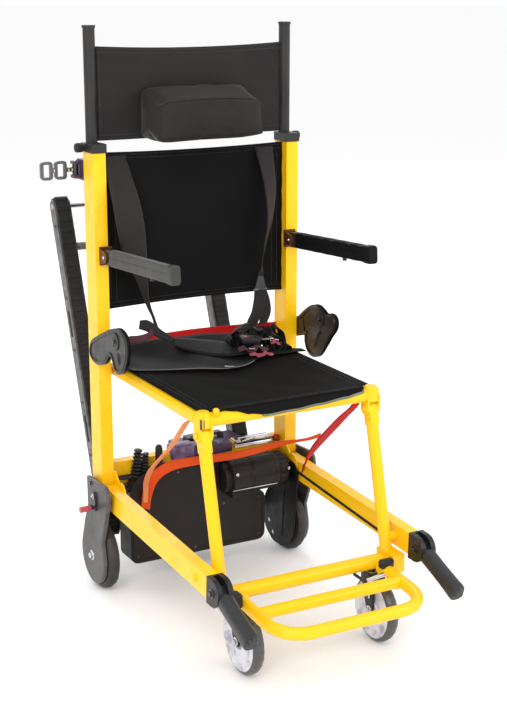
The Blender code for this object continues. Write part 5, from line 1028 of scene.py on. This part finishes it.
def face_of(name, outside, towards):
    """Where a ray from outside first meets a CAD node, and the face's normal there."""
    if name not in trees:
        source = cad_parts[name]
        shape = bmesh.new()
        shape.from_mesh(source.data)
        shape.transform(source.matrix_world)
        trees[name] = BVHTree.FromBMesh(shape)
        shape.free()
    return trees[name].ray_cast(outside, Vector(towards).normalized())[:2]


def hex_bolt(shape, place, axis, size):
    for steps, profile in (
        (24, [(0, 1.65), (0.22, 1.65), (0.30, 1.5)]), (6, [(0.2, 1.1), (0.95, 1.1), (1.1, 0.9)]),
    ):
        lathe(shape, place, axis, [(size * along, size * radius) for along, radius in profile], steps)


def cap_screw(shape, place, axis, size):
    dome = [(0, 1), (0.25, 1), (0.50, 0.86), (0.62, 0.60), (0.62, 0.44), (0.30, 0.40)]
    lathe(shape, place, axis, [(size * along, size * radius) for along, radius in dome], 18)


def fasten(name, body, material, slot, spots, kind=hex_bolt):
    """One piece of like fastenings: (node, place outside, way in, size) each."""
    shape = bmesh.new()
    for holder, place, way, size in spots:
        found, normal = face_of(holder, chair(*place), way)
        kind(shape, found - normal * 0.0002, normal, size)
    solid(name, shape, material, body, slot, 30)


outside = 0.30
rail_pivot = (-0.0674, 0.232)
leg_pivot = (-0.4820, 0.2035)
handle_y = -0.55698
arm_pivot = (-0.0535, 0.741)
caster_axle = (-0.5125, 0.068)
fasten("carrier_bolts", "main_frame", dark_steel, "steel", [
    (f"wheel_carrier_{side}", (sign * outside, -0.009, z), (-sign, 0, 0), 0.0042)
    for side, sign in sides for z in (0.190, 0.244)
])
fasten("rail_pivot_bolts", "main_frame", enamel, "yellow", [
    (f"post_{side}", (sign * outside, *rail_pivot), (-sign, 0, 0), 0.0058) for side, sign in sides
])
fasten("leg_pivot_bolts", "side_rails", enamel, "yellow", [
    (f"side_tube_{side}", (sign * outside, *leg_pivot), (-sign, 0, 0), 0.0058) for side, sign in sides
])
fasten("handle_pivot_bolts", "side_rails", dark_steel, "steel", [
    (f"end_block_{side}", (sign * x, handle_y, 0.1999), (way * sign, 0, 0), 0.0056)
    for side, sign in sides for x, way in ((outside, -1), (0.15, 1))
])
fasten("seat_bolts", "seat", enamel, "yellow", [
    ("seat_frame", (sign * x, -0.4196, 0.459), (way * sign, 0, 0), 0.0062)
    for x, way in ((0.24, -1), (0.12, 1)) for side, sign in sides
], cap_screw)
fasten("leg_bolts", "front_legs", bright, "steel", [
    ("leg_frame", (sign * 0.150, -0.5250, 0.1600), (sign, 0, 0), 0.0038) for side, sign in sides
], cap_screw)
for side, sign in sides:
    fasten(f"fork_bolts_{side}", f"fork_{side}", bright, "steel", [
        (f"caster_fork_{side}", (sign * x, *caster_axle), (way * sign, 0, 0), 0.0055)
        for x, way in ((0.20, -1), (0.10, 1))
    ])
fasten("axle_nuts", "main_frame", bright, "steel", [
    (f"wheel_carrier_{side}", (sign * outside, -0.005, 0.076), (-sign, 0, 0), 0.0068) for side, sign in sides
])
fasten("brake_bolts", "main_frame", bright, "steel", [
    (f"wheel_carrier_{side}", (sign * outside, -0.032, 0.222), (-sign, 0, 0), 0.0036) for side, sign in sides
])
for side, sign in sides:
    fasten(f"arm_bolts_{side}", "main_frame", bright, "steel", [
        (f"arm_bracket_{side}", (x * sign, *arm_pivot), (way * sign, 0, 0), 0.0038)
        for x, way in ((0.26, -1), (0.17, 1))
    ], cap_screw)

# Caster swivels: a bright race under each foot, and six bright studs on the crown of the fork.
# Turned steel; they swivel with the fork.
caster_x = 0.151
upwards = (0, 0, 1)
for side, sign in sides:
    race = bmesh.new()
    pin(race, chair(sign * caster_x, -0.4925, 0.1422), upwards, 0.0011, 0.0158, 0.0150, 0.0002, 32)
    for out in (-1, 1):
        for y in (-0.4935, -0.5040, -0.5145):
            stud = chair(sign * caster_x + out * 0.0192, y, 0.094)
            pin(race, stud, upwards, 0.034, 0.0024, 0.0012, 0.001, 14)
    solid(f"caster_race_{side}", race, bright, f"fork_{side}", "steel")


# Seat locks: cast hooks on the outer faces of the posts, with a boss round the bolt and a ridge down the claw.
# Enamelled brown-black; each is bolted through its post, and the two hang at different angles.
def smooth_loop(corners, count):
    """A closed smooth run through the corners."""
    keys = [Vector(corner) for corner in corners]
    padded = [keys[-1], *keys, *keys[:2]]
    points = []
    for i in range(count):
        k, s = divmod(i / count * len(keys), 1)
        a, b, c, d = padded[int(k):int(k) + 4]
        curve = 2 * b + (c - a) * s + (2 * a - 5 * b + 4 * c - d) * s * s + (3 * b - a - 3 * c + d) * s**3
        points.append(0.5 * curve)
    return points


def grown_by(points, distance):
    """The loop moved outwards along its normals."""
    moved = []
    for i, point in enumerate(points):
        along = points[(i + 1) % len(points)] - points[i - 1]
        moved.append(point + Vector((-along.y, along.x)).normalized() * distance)
    return moved


lock_coat = hard(
    "lock_coat", (0.0055, 0.0048, 0.0042), (0.0125, 0.0112, 0.0098), (0.30, 0.46), 500, 0.25,
    worn=(0.045, 0.042, 0.038), specular=0.4,
)
lock_bolts = bmesh.new()
for side, sign, outline, bolt, ridge in (
    ("right", -1, [
        (-0.016, 0.530), (-0.020, 0.553), (-0.050, 0.569), (-0.091, 0.587), (-0.130, 0.602), (-0.165, 0.610),
        (-0.190, 0.604), (-0.200, 0.590), (-0.199, 0.572), (-0.191, 0.553), (-0.176, 0.536), (-0.150, 0.529),
        (-0.135, 0.546), (-0.124, 0.557), (-0.108, 0.555), (-0.086, 0.536), (-0.050, 0.524),
    ], (-0.149, 0.588), ((-0.160, 0.568), (-0.166, 0.541))),
    ("left", 1, [
        (-0.012, 0.522), (-0.014, 0.545), (-0.040, 0.557), (-0.062, 0.573), (-0.090, 0.590), (-0.116, 0.596),
        (-0.136, 0.591), (-0.152, 0.584), (-0.174, 0.588), (-0.187, 0.583), (-0.185, 0.568), (-0.167, 0.549),
        (-0.147, 0.525), (-0.123, 0.499), (-0.099, 0.491), (-0.080, 0.497), (-0.070, 0.516), (-0.075, 0.536),
        (-0.058, 0.532), (-0.034, 0.525),
    ], (-0.128, 0.574), ((-0.132, 0.550), (-0.104, 0.507))),
):
    skin = bmesh.new()
    base = smooth_loop(outline, 84)
    walled(skin, [
        [skin.verts.new(chair(sign * x, *point)) for point in grown_by(base, grow)]
        for x, grow in (
            (0.2410, -0.0080), (0.2400, -0.0040), (0.2386, -0.0030), (0.2386, -0.0006), (0.2394, 0.0003),
            (0.2504, 0.0003), (0.2512, -0.0006), (0.2512, -0.0030), (0.2498, -0.0040), (0.2490, -0.0080),
        )
    ])
    for x, way in ((0.2484, sign), (0.2416, -sign)):
        place, axis = chair(sign * x, *bolt), (way, 0, 0)
        boss = [(0, 0.0180), (0.0020, 0.0180), (0.0032, 0.0168), (0.0034, 0.0110), (0.0026, 0.0100)]
        lathe(skin, place, axis, boss, 30)
        washer, head = (chair(sign * x + way * out, *bolt) for out in (0.0026, 0.0030))
        lathe(lock_bolts, washer, axis, [(0, 0.0072), (0.0006, 0.0072), (0.0010, 0.0064)], 24)
        lathe(lock_bolts, head, axis, [(0, 0.0046), (0.0030, 0.0046), (0.0036, 0.0038)], 6)
        start, end = (chair(sign * x, *point) for point in ridge)
        span = (end - start).length
        crest = [(0, 0.0010), (0.005, 0.0036), (span - 0.006, 0.0036), (span, 0.0010)]
        lathe(skin, start, end - start, crest, 16)
    bmesh.ops.recalc_face_normals(skin, faces=skin.faces)
    lock = solid(f"seat_lock_{side}_casting", skin, lock_coat, "main_frame", "black_plastic", 40)
    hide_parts(f"seat_lock_{side}")
solid("seat_lock_bolts", lock_bolts, dark_steel, "main_frame", "steel", 30)

# Armrests: sleeves of moulded foam with a matt skin and a squared end, pushed over the steel arms.
# The mould's parting line runs along each side, as a fine cord.
# The sitter's right sleeve is painted a paler grey as painted light and the left one near black as painted
# shade; they are lit and shaded copies of one cover.
arm_painted_light_grey = woven("arm_painted_light_grey", (0.040, 0.040, 0.036), (0.075, 0.074, 0.067), 0.0012, (0.75, 0.9), 0.25, sheen=0.2)
arm_painted_shade_black = woven(
    "arm_painted_shade_black", (0.0025, 0.0025, 0.003), (0.007, 0.007, 0.008), 0.0012, (0.6, 0.8), 0.25, sheen=0,
)
arm_x = 0.2175
rise = math.radians(3.4)
arm_line = Vector((0, -math.cos(rise), math.sin(rise)))
arm_up = Vector((0, math.sin(rise), math.cos(rise)))
arm_section = [
    (math.copysign(abs(a) ** 0.45, a), math.copysign(abs(b) ** 0.35, b)) for a, b in around(28, 1)
]
arm_stations = [
    (0.020, 0.0088, 0.0150), (0.023, 0.0096, 0.0170),
    *(
        (0.030 + 0.268 * i / 24, 0.0098 + 0.0003 * math.sin(i * 1.9), 0.0172 + 0.0002 * math.sin(i * 1.3))
        for i in range(25)
    ),
    (0.306, 0.0100, 0.0178), (0.316, 0.0104, 0.0184), (0.3190, 0.0098, 0.0176),
]
# Each side takes its painted-light or painted-shade copy of the one sleeve cover.
for side, sign, cover in (("right", -1, arm_painted_light_grey), ("left", 1, arm_painted_shade_black)):
    root = chair(sign * arm_x, *arm_pivot)

    def arm_at(along, x, up):
        return root + arm_line * along + arm_up * up + Vector((x, 0, 0))

    sleeve = bmesh.new()
    walled(sleeve, [
        [sleeve.verts.new(arm_at(along, half_x * a, half_up * b)) for a, b in arm_section]
        for along, half_x, half_up in arm_stations
    ])
    layer = sleeve.loops.layers.uv.new("UVMap")
    for index, face in enumerate(list(sleeve.faces)[:-2]):
        i, k = divmod(index, len(arm_section))
        for loop, (du, dv) in zip(face.loops, ((0, 0), (1, 0), (1, 1), (0, 1))):
            loop[layer].uv = ((k + du) * 0.0035, arm_stations[i + dv][0])
    bmesh.ops.recalc_face_normals(sleeve, faces=sleeve.faces)
    solid(f"armrest_{side}_sleeve", sleeve, cover, f"arm_{side}", "arm_cover", 60)
    for name, x in (("outer", sign * 0.0099), ("inner", -sign * 0.0099)):
        line = [arm_at(0.026 + 0.284 * i / 30, x, 0.0020) for i in range(31)]
        piping(f"armrest_{side}_line_{name}", line, 0.0005, cover, f"arm_{side}", cyclic=False)

# Clamp knobs: moulded ribs round each knob and a domed end, in the knob's own black.
# They turn with the knob's clamp screw.
for side, sign in sides:
    low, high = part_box(f"clamp_knob_{side}")
    hub = (low + high) / 2
    outer_x = high.x if sign > 0 else low.x
    knurl = bmesh.new()
    for a, b in around(14, 0.0082):
        rib = Vector((outer_x - sign * 0.0150, hub.y + a, hub.z + b))
        pin(knurl, rib, (sign, 0, 0), 0.0140, 0.0015, 0.0008, 0.0010, 8)
    lathe(
        knurl, Vector((outer_x - sign * 0.0004, hub.y, hub.z)), (sign, 0, 0),
        [(0, 0.0062), (0.0012, 0.0056), (0.0019, 0.0036), (0.0021, 0.0012)],
    )
    solid(f"clamp_knob_{side}_knurl", knurl, moulded, f"clamp_{side}", "black_plastic")


# Drive cover: a raised bead round the moulding's face and cap screws through it.
# Beside its shoulder stand two ribbed cable glands, and a black release rod points outwards.
def corner_arc(cx, cz, radius, start, end, count):
    """Points of the cover's outline round one corner, in degrees."""
    turns = [math.radians(start + (end - start) * i / (count - 1)) for i in range(count)]
    return [chair(cx + radius * math.cos(turn), -0.0322, cz + radius * math.sin(turn)) for turn in turns]


cover_right, cover_left = -0.176, 0.158
cover_low, cover_step, cover_high = 0.046, 0.166, 0.256
small, large, bead_inset = 0.018, 0.055, 0.007
bead_points = [
    *corner_arc(cover_left - small, cover_low + small, small - bead_inset, -90, 0, 7),
    *corner_arc(cover_left - small, cover_step - small, small - bead_inset, 0, 90, 7),
    chair(0.060 - bead_inset, -0.0322, cover_step - bead_inset),
    *corner_arc(0.060 - 0.009, cover_high - 0.009, 0.002, 0, 90, 4),
    *corner_arc(cover_right + large, cover_high - large, large - bead_inset, 90, 180, 14),
    *corner_arc(cover_right + small, cover_low + small, small - bead_inset, 180, 270, 7),
]
piping("drive_cover_bead", bead_points, 0.0012, cover_skin, "main_frame")
fasten("drive_cover_screws", "main_frame", dark_steel, "steel", [
    ("drive_housing", (x, -0.10, z), (0, 1, 0), 0.0034) for x, z in (
        (-0.160, 0.062), (-0.166, 0.150), (-0.135, 0.232), (-0.020, 0.058), (0.052, 0.150),
        (0.142, 0.062), (0.142, 0.152), (-0.060, 0.243), (0.048, 0.236),
    )
], cap_screw)
gland = bmesh.new()
for k in range(8):
    wide = 0.0128 - 0.0005 * k
    place = chair(-0.1545 + 0.0010 * k, -0.0165, 0.2430 + k * 0.0080)
    pin(gland, place, (0.12, 0, 1), 0.0066, wide, wide - 0.0030, 0.0016, 22)
for k in range(6):
    wide = 0.0098 - 0.0004 * k
    place = chair(-0.1345 + 0.0008 * k, -0.0175, 0.2550 + k * 0.0068)
    pin(gland, place, (-0.1, 0, 1), 0.0056, wide, wide - 0.0024, 0.0014, 20)
solid("drive_cover_gland", gland, moulded, "main_frame", "cover_plastic")
release = bmesh.new()
lathe(
    release, chair(-0.160, -0.0165, 0.2455), (-1, 0, 0.04),
    [(-0.006, 0.0052), (0.004, 0.0060), (0.030, 0.0056), (0.043, 0.0048), (0.0465, 0.0030)], 18,
)
lathe(
    release, chair(-0.174, -0.016, 0.219), (-1, 0, 0),
    [(-0.004, 0.0085), (0, 0.0090), (0.006, 0.0090), (0.0075, 0.0070)], 18,
)
solid("drive_release_rod", release, moulded, "main_frame", "cover_plastic")

# Cable duct: a purple-grey moulded lid that clips over the lower crossbar behind the drive cover.
# Its near part is painted pale purple as a painted highlight; the lower tail beyond it keeps the battery's
# darker purple.
painted_highlight_lilac = hard("duct_painted_highlight", (0.095, 0.050, 0.125), (0.34, 0.25, 0.43), (0.24, 0.40), 600, 0.2, patch=28.0)
for name, material, blocks in (
    ("cable_duct", painted_highlight_lilac, [
        ((-0.064, -0.0135, 0.2600), (-0.006, 0.0235, 0.2955), 0.0075, 4),
        ((-0.058, -0.0115, 0.2930), (-0.030, 0.0120, 0.2985), 0.0024, 3),
    ]),
    ("cable_duct_tail", battery_skin, [
        ((-0.014, -0.0130, 0.2620), (0.050, 0.0230, 0.2900), 0.0050, 4),
        ((0.040, -0.0125, 0.2620), (0.086, 0.0225, 0.2850), 0.0030, 4),
        ((0.004, -0.0095, 0.2880), (0.030, 0.0180, 0.2925), 0.0018, 3),
    ]),
):
    lid = bmesh.new()
    for low, high, edge, segments in blocks:
        bar(lid, low, high, edge, segments=segments)
    solid(name, lid, material, "main_frame", "battery_plastic")

# Wheel guard: a black moulded plate inside the left rear wheel, with a rolled rim and one rib; its near-black
# colour is also painted shade, standing in for the shade inside the wheel.
# It is held by three bright clips.
guard_x, guard_thickness = 0.2045, 0.0032
guard = bmesh.new()
slab(guard, [
    chair(guard_x, y, z) for y, z in (
        (-0.030, 0.222), (-0.050, 0.238), (-0.086, 0.234), (-0.100, 0.214), (-0.094, 0.170), (-0.088, 0.110),
        (-0.082, 0.062), (-0.060, 0.030), (-0.028, 0.015), (0.014, 0.015), (0.046, 0.034), (0.062, 0.062),
        (0.062, 0.100), (0.044, 0.132), (0.012, 0.162), (-0.010, 0.190),
    )
], (guard_thickness, 0, 0))
corners = [e for e in guard.edges if abs(e.verts[0].co.x - e.verts[1].co.x) > guard_thickness / 2]
bmesh.ops.bevel(guard, geom=corners, offset=0.008, segments=4, profile=0.5, affect="EDGES")
rims = [e for e in guard.edges if e.calc_face_angle(0) > 0.9]
bmesh.ops.bevel(guard, geom=rims, offset=0.0009, segments=2, affect="EDGES")
rib_from, rib_to = chair(guard_x, -0.030, 0.040), chair(guard_x, -0.045, 0.215)
pin(guard, rib_from, rib_to - rib_from, (rib_to - rib_from).length, 0.0016, 0.0006, 0.002, 10)
# Near-black moulding: the plate's own black, made darker as painted shade for the shaded inside of the wheel.
guard_painted_shade = hard(
    "guard_moulding_painted_shade", (0.002, 0.002, 0.002), (0.006, 0.006, 0.007), (0.4, 0.55), 600, 0.25, specular=0.25,
)
solid("wheel_guard", guard, guard_painted_shade, "main_frame", "black_plastic")
clips = bmesh.new()
for y, z in ((0.028, 0.062), (0.011, 0.037), (-0.050, 0.212)):
    lathe(
        clips, chair(guard_x - 0.0002, y, z), (-1, 0, 0),
        [(0, 0.0050), (0.0008, 0.0050), (0.0016, 0.0036), (0.0022, 0.0015)], 16,
    )
solid("wheel_guard_clips", clips, bright, "main_frame", "steel")

# Speed knob: a domed cap with ten finger ribs, pressed on the top of the stalk.
# Black moulding; it turns with the stalk.
knob_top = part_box("speed_knob")[1].z
knob_at = chair(-0.098, -0.01625, 0).xy
knob_dress = bmesh.new()
for a, b in around(10, 0.0070):
    rib = Vector((knob_at.x + a, knob_at.y + b, knob_top - 0.0180))
    lathe(knob_dress, rib, upwards, [(0, 0.0007), (0.0015, 0.0013), (0.0280, 0.0013), (0.0292, 0.0008)], 8)
lathe(
    knob_dress, Vector((*knob_at, knob_top - 0.0030)), upwards,
    [(0, 0.0070), (0.0150, 0.0072), (0.0180, 0.0062), (0.0200, 0.0042), (0.0206, 0.0014)], 24,
)
solid("speed_knob_cap", knob_dress, moulded, "knob", "black_plastic")

# Motor: raised bands round the barrel and cooling ribs at its end cap, in the cover's black.
# Four through-bolts and a boss hold the cap and two screws show along the barrel; a bright rod under it stands
# in as a painted highlight along the motor's lower edge.
motor_y, motor_z = -0.0435, 0.2155
motor_end = 0.1998
sideways = (1, 0, 0)
barrel = bmesh.new()
for x, width in ((0.0560, 0.003), (0.1600, 0.0035)):
    pin(barrel, chair(x, motor_y, motor_z), sideways, width, 0.0414, 0.0402, width * 0.2, 40)
for a, b in around(20, 0.0388):
    pin(barrel, chair(0.1755, motor_y + a, motor_z + b), sideways, 0.0150, 0.0014, 0.0008, 0.001, 8)
solid("drive_motor_bands", barrel, cover_skin, "main_frame", "cover_plastic")
motor_bolts = bmesh.new()
for a, b in around(4, 0.026, 45):
    hex_bolt(motor_bolts, chair(motor_end, motor_y + a, motor_z + b), sideways, 0.0034)
lathe(
    motor_bolts, chair(motor_end, motor_y, motor_z), sideways,
    [(0, 0.0120), (0.0012, 0.0120), (0.0024, 0.0100), (0.0030, 0.0050)], 28,
)
for x, turn in ((0.062, 22), (0.192, 14)):
    way = Vector((0, -math.cos(math.radians(turn)), math.sin(math.radians(turn))))
    cap_screw(motor_bolts, chair(x, motor_y, motor_z) + way * 0.0408, way, 0.0040)
# This bright rod is a painted highlight: it stands for the light line along the motor's lower edge.
pin(motor_bolts, chair(0.050, motor_y - 0.0368, motor_z - 0.0210), sideways, 0.114, 0.0012, 0.0006, 0.002, 12)
solid("drive_motor_bolts", motor_bolts, bright, "main_frame", "steel")

# Gearbox: five cap screws round each output boss, in dark steel.
# They hold the bearing covers that the track's drive shaft runs through.
track_axle = (0.0844, 0.0975)
gear_screws = bmesh.new()
for sign in (-1, 1):
    for a, b in around(5, 0.0225, 18):
        place = chair(sign * 0.0699, track_axle[0] + a, track_axle[1] + b)
        cap_screw(gear_screws, place, (sign, 0, 0), 0.0032)
solid("gearbox_screws", gear_screws, dark_steel, "main_frame", "steel")

# Battery: a bright, crumpled latch plate along its front edge, with a rod across it.
# A dark catch block holds the plate, and a red knob at its end releases it.
latch = bmesh.new()
for k, (angle, low_z) in enumerate(((-16, 0.2665), (8, 0.2735), (-6, 0.2800))):
    tilt = Matrix.Rotation(math.radians(angle), 3, "X")
    bar(latch, (0.094 + 0.004 * k, -0.0085, low_z), (0.192 - 0.006 * k, -0.0060, low_z + 0.0095), 0.0010, tilt)
bar(latch, (0.098, -0.0070, 0.2790), (0.190, 0.0240, 0.2815), 0.0010)
pin(latch, chair(0.125, -0.0105, 0.2830), (1, 0, 0.12), 0.032, 0.0034, 0.0022, 0.001, 16, start=-0.016)
solid("battery_latch", latch, bright, "main_frame", "steel")
catch = bmesh.new()
bar(catch, (0.108, -0.0125, 0.2795), (0.120, -0.0085, 0.2880), 0.0015, segments=3)
bar(catch, (0.000, 0.0400, 0.2785), (0.022, 0.0700, 0.2900), 0.0030, segments=3)
solid("battery_catch", catch, moulded, "main_frame", "battery_plastic")
red_knob = bmesh.new()
lathe(
    red_knob, chair(0.2010, -0.0020, 0.2700), (0, -0.6, 1),
    [(0, 0.0060), (0.003, 0.0060), (0.0045, 0.0080), (0.0090, 0.0080), (0.0110, 0.0062), (0.0116, 0.0030)], 24,
)
solid("battery_knob", red_knob, red_coat, "main_frame", "red_metal")

# Track rails: countersunk screws along both faces of each rail, in dark steel.
# Two long dark slots on each outer cheek show the belt inside.
track_x, cheek_offset = 0.1762, 0.0196
track_lean = math.radians(19.5)
track_start = Vector((0, *track_axle))
track_line = Vector((0, math.sin(track_lean), math.cos(track_lean)))
track_screws, track_slots = bmesh.new(), bmesh.new()
for sign in (-1, 1):
    for side in (-1, 1):
        for along in (0.045, 0.165, 0.285, 0.405, 0.525, 0.690):
            place = chair(sign * track_x + side * cheek_offset, *(track_start + track_line * along).yz)
            cap_screw(track_screws, place, (side, 0, 0), 0.0038)
    spin = Matrix.Rotation(-track_lean, 3, "X")
    for along in (0.225, 0.465):
        at = track_start + track_line * along
        at.x = sign * (track_x + cheek_offset)
        half = Vector((0.0012, 0.0040, 0.030))
        bar(track_slots, at - half, at + half, 0.0011, spin)
solid("track_rail_screws", track_screws, dark_steel, "track_unit", "steel")
solid("track_rail_slots", track_slots, belt_rubber, "track_unit", "grey_metal")

# Operator's lever: bright pin heads above and below its bracket.
# Bright ferrules sit where the rods meet the rings, and swing with the lever.
lever_y, lever_z = 0.045, 0.912
lever_low, lever_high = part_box("lever_bracket")
lever_at = chair(-0.248, lever_y, 0)
lever_pins = bmesh.new()
for z, way in ((lever_high.z, 1), (lever_low.z, -1)):
    found, normal = face_of("lever_bracket", Vector((lever_at.x, lever_at.y, z + way * 0.03)), (0, 0, -way))
    cap_screw(lever_pins, found, (0, 0, way), 0.0048)
solid("lever_pin_heads", lever_pins, bright, "main_frame", "steel")
ferrules = bmesh.new()
for x in (-0.2572, -0.2647, -0.2965):
    pin(ferrules, chair(x, lever_y, lever_z), sideways, 0.0030, 0.0056, 0.0050, 0.0006, 20)
solid("lever_ferrules", ferrules, bright, "tow_lever", "steel")

# Carry handles: smooth moulded grips over the steel bars, swelling to a bevelled end.
# Black rubber with a soft gloss; each folds with its bar.
drop = math.radians(21.5)
handle_line = Vector((0, -math.cos(drop), -math.sin(drop)))
handle_up = Vector((0, -math.sin(drop), math.cos(drop)))
grip_section = [(math.copysign(abs(a) ** 0.75, a), math.copysign(abs(b) ** 0.75, b)) for a, b in around(32, 1)]
grip_stations = [
    (0.0215, 0.0120, 0.0125), (0.0240, 0.0152, 0.0160), (0.0300, 0.0154, 0.0164), (0.0600, 0.0152, 0.0158),
    (0.0900, 0.0152, 0.0162), (0.1150, 0.0153, 0.0174), (0.1290, 0.0154, 0.0184), (0.1335, 0.0148, 0.0180),
    (0.1352, 0.0128, 0.0160),
]
for side, sign in sides:
    root = chair(sign * 0.225, handle_y, 0.19994)
    grip = bmesh.new()
    rings = []
    for along, half_x, half_up in grip_stations:
        at = root + handle_line * along
        rings.append([
            grip.verts.new(at + Vector((a * half_x, 0, 0)) + handle_up * b * half_up) for a, b in grip_section
        ])
    walled(grip, rings)
    bmesh.ops.recalc_face_normals(grip, faces=grip.faces)
    solid(f"carry_handle_{side}_grip", grip, grip_rubber, f"handle_{side}", "grip")

# Footrest latch: a bright rod beside the footrest's left root with a black end and a black lever.
# Moulded black caps lie on the stretcher at both roots.
latch_from, latch_to = chair(0.104, -0.5405, 0.1450), chair(0.1750, -0.5405, 0.1550)
latch_line = latch_to - latch_from
latch_rod = bmesh.new()
pin(latch_rod, latch_from, latch_line, latch_line.length, 0.0048, 0.0034, 0.001, 18)
solid("footrest_latch_rod", latch_rod, bright, "front_legs", "steel")
caps = bmesh.new()
pin(caps, latch_from, latch_line, 0.006, 0.0078, 0.0062, 0.001, 20, start=-0.003)
bar(caps, (0.1020, -0.5400, 0.1430), (0.1070, -0.4990, 0.1490), 0.0015)
bar(caps, (0.1430, -0.5400, 0.1605), (0.1750, -0.5240, 0.1800), 0.0062, segments=4)
bar(caps, (-0.2068, -0.5580, 0.1560), (-0.1750, -0.5310, 0.1850), 0.0050, segments=4)
solid("footrest_latch_caps", caps, moulded, "front_legs", "black_plastic")

# Rail trim: a dark rubber strip along the lower inner edge of each side tube, whose dark also stands in as
# painted shade for the shade line under the tube.
# It is made of eight lengths, each held by a rivet.
tube_from, tube_to = Vector((0, -0.0674, 0.2165)), Vector((0, -0.4820, 0.1875))
tube_line = (tube_to - tube_from).normalized()
tube_lean = Matrix.Rotation(math.atan2(-tube_line.z, -tube_line.y), 3, "X")
trim_x = 0.2114
for side, sign in sides:
    trim, rivets = bmesh.new(), bmesh.new()
    low_x, high_x = sorted((sign * trim_x, sign * (trim_x + 0.0014)))
    for k in range(8):
        at = tube_from + tube_line * (0.030 + 0.0475 * k)
        low, high = (low_x, at.y - 0.0240, at.z - 0.0034), (high_x, at.y + 0.0240, at.z + 0.0034)
        bar(trim, low, high, 0.0005, tube_lean)
        cap_screw(rivets, chair(sign * trim_x, at.y, at.z), (-sign, 0, 0), 0.0018)
    # The dark strip doubles as painted shade along the underside of the tube.
    solid(f"rail_trim_{side}", trim, belt_rubber, "side_rails", "black_plastic")
    solid(f"rail_rivets_{side}", rivets, dark_steel, "side_rails", "steel")


# Weld beads: rippled rings of enamelled weld where the tubes meet.
# They go round the seat's front joints, the footrest's bar and the feet of the front legs.
def bead(shape, place, axis, radius, thick=0.0016, steps=56):
    """Adds a rippled ring about an axis."""
    turn = Vector(axis).normalized().to_track_quat("Z", "Y").to_matrix()
    rings = []
    for i, (x, y) in enumerate(around(steps, 1)):
        out, up = turn @ Vector((x, y, 0)), turn @ Vector((0, 0, 1))
        size = thick * (1 + 0.16 * math.sin(i * 2.2))
        rings.append([shape.verts.new(place + out * (radius + 0.7 * a) + up * b) for a, b in around(8, size)])
    for i in range(steps):
        one, two = rings[i], rings[(i + 1) % steps]
        for k in range(8):
            shape.faces.new((one[k], two[k], two[(k + 1) % 8], one[(k + 1) % 8]))


seat_beads, foot_beads, leg_beads = bmesh.new(), bmesh.new(), bmesh.new()
for sign in (-1, 1):
    bead(seat_beads, chair(sign * 0.1700, *front_tube), (1, 0, 0), 0.0140)
    bead(seat_beads, chair(sign * 0.1875, -0.3995, 0.487), (0, 1, 0), 0.0140)
    bead(foot_beads, chair(sign * 0.1487, -0.583, 0.1502), (1, 0, 0), 0.0121)
    bead(leg_beads, chair(sign * 0.1875, -0.4888, 0.1752), (0, -0.0729, -0.299), 0.0128)
solid("seat_frame_welds", seat_beads, enamel, "seat", "yellow")
solid("footrest_welds", foot_beads, enamel, "foot_support", "yellow")
solid("leg_frame_welds", leg_beads, enamel, "front_legs", "yellow")

# Post and seat fittings: black moulded caps in the open feet of the posts.
# The seat's right front corner has two dark slots on its face and an enamelled knob on top.
fittings = bmesh.new()
for sign in (-1, 1):
    bar(fittings, (sign * 0.225 - 0.0120, -0.0285, 0.2025), (sign * 0.225 + 0.0120, 0.0185, 0.2115), 0.0012)
solid("post_foot_plugs", fittings, moulded, "main_frame", "black_plastic")
slots = bmesh.new()
for x in (-0.2010, -0.1944):
    bar(slots, (x, -0.4345, 0.4745), (x + 0.0042, -0.4315, 0.4945), 0.0012)
solid("seat_corner_slots", slots, dark_steel, "seat", "steel")
knob = bmesh.new()
lathe(
    knob, chair(-0.1655, -0.4290, 0.4985), (0, -0.1, 1),
    [(0, 0.0050), (0.004, 0.0052), (0.006, 0.0066), (0.0105, 0.0062), (0.0125, 0.0040), (0.0132, 0.0015)], 22,
)
solid("seat_corner_knob", knob, enamel, "seat", "yellow")

# Seat front: the cloth is turned down over the front tube, furthest near the middle.
# Its edge is a hem in greyish green that is rolled over a cord.
turn_from = math.radians(-22)
turn_keys = [
    (-0.150, 8), (-0.125, 38), (-0.095, 76), (-0.055, 98), (0.000, 92), (0.060, 80), (0.120, 64),
    (0.160, 48), (0.168, 20),
]


def turn_at(x):
    """How far round the front tube the cloth reaches, in radians."""
    for (x0, a0), (x1, a1) in zip(turn_keys, turn_keys[1:]):
        if x <= x1:
            break
    return math.radians(a0 + (a1 - a0) * eased(max(0, min(1, (x - x0) / (x1 - x0)))))


def turn_place(u, v):
    x = turn_keys[0][0] + u * (turn_keys[-1][0] - turn_keys[0][0])
    angle = turn_from + (turn_at(x) - turn_from) * v
    reach = 0.0153 + 0.0012 * v * (0.5 + 0.5 * math.sin(x * 90))
    return chair(x, front_tube[0] - reach * math.sin(angle), front_tube[1] + reach * math.cos(angle))


turned = solid("seat_cloth_front", mapped(80, 12, turn_place, (0.318, 0.030)), panel_cloth, "seat", "cloth", 60)
thickened(turned, 0.0016)
hem_green = woven("hem_green", (0.10, 0.12, 0.08), (0.24, 0.27, 0.19), 0.0014, (0.6, 0.8), 0.3, sheen=0)
hem_line = [turn_place(0.26 + 0.73 * i / 70, 1) + Vector((0, -0.0006, -0.0010)) for i in range(71)]
piping("seat_hem", hem_line, 0.0024, hem_green, "seat", cyclic=False)
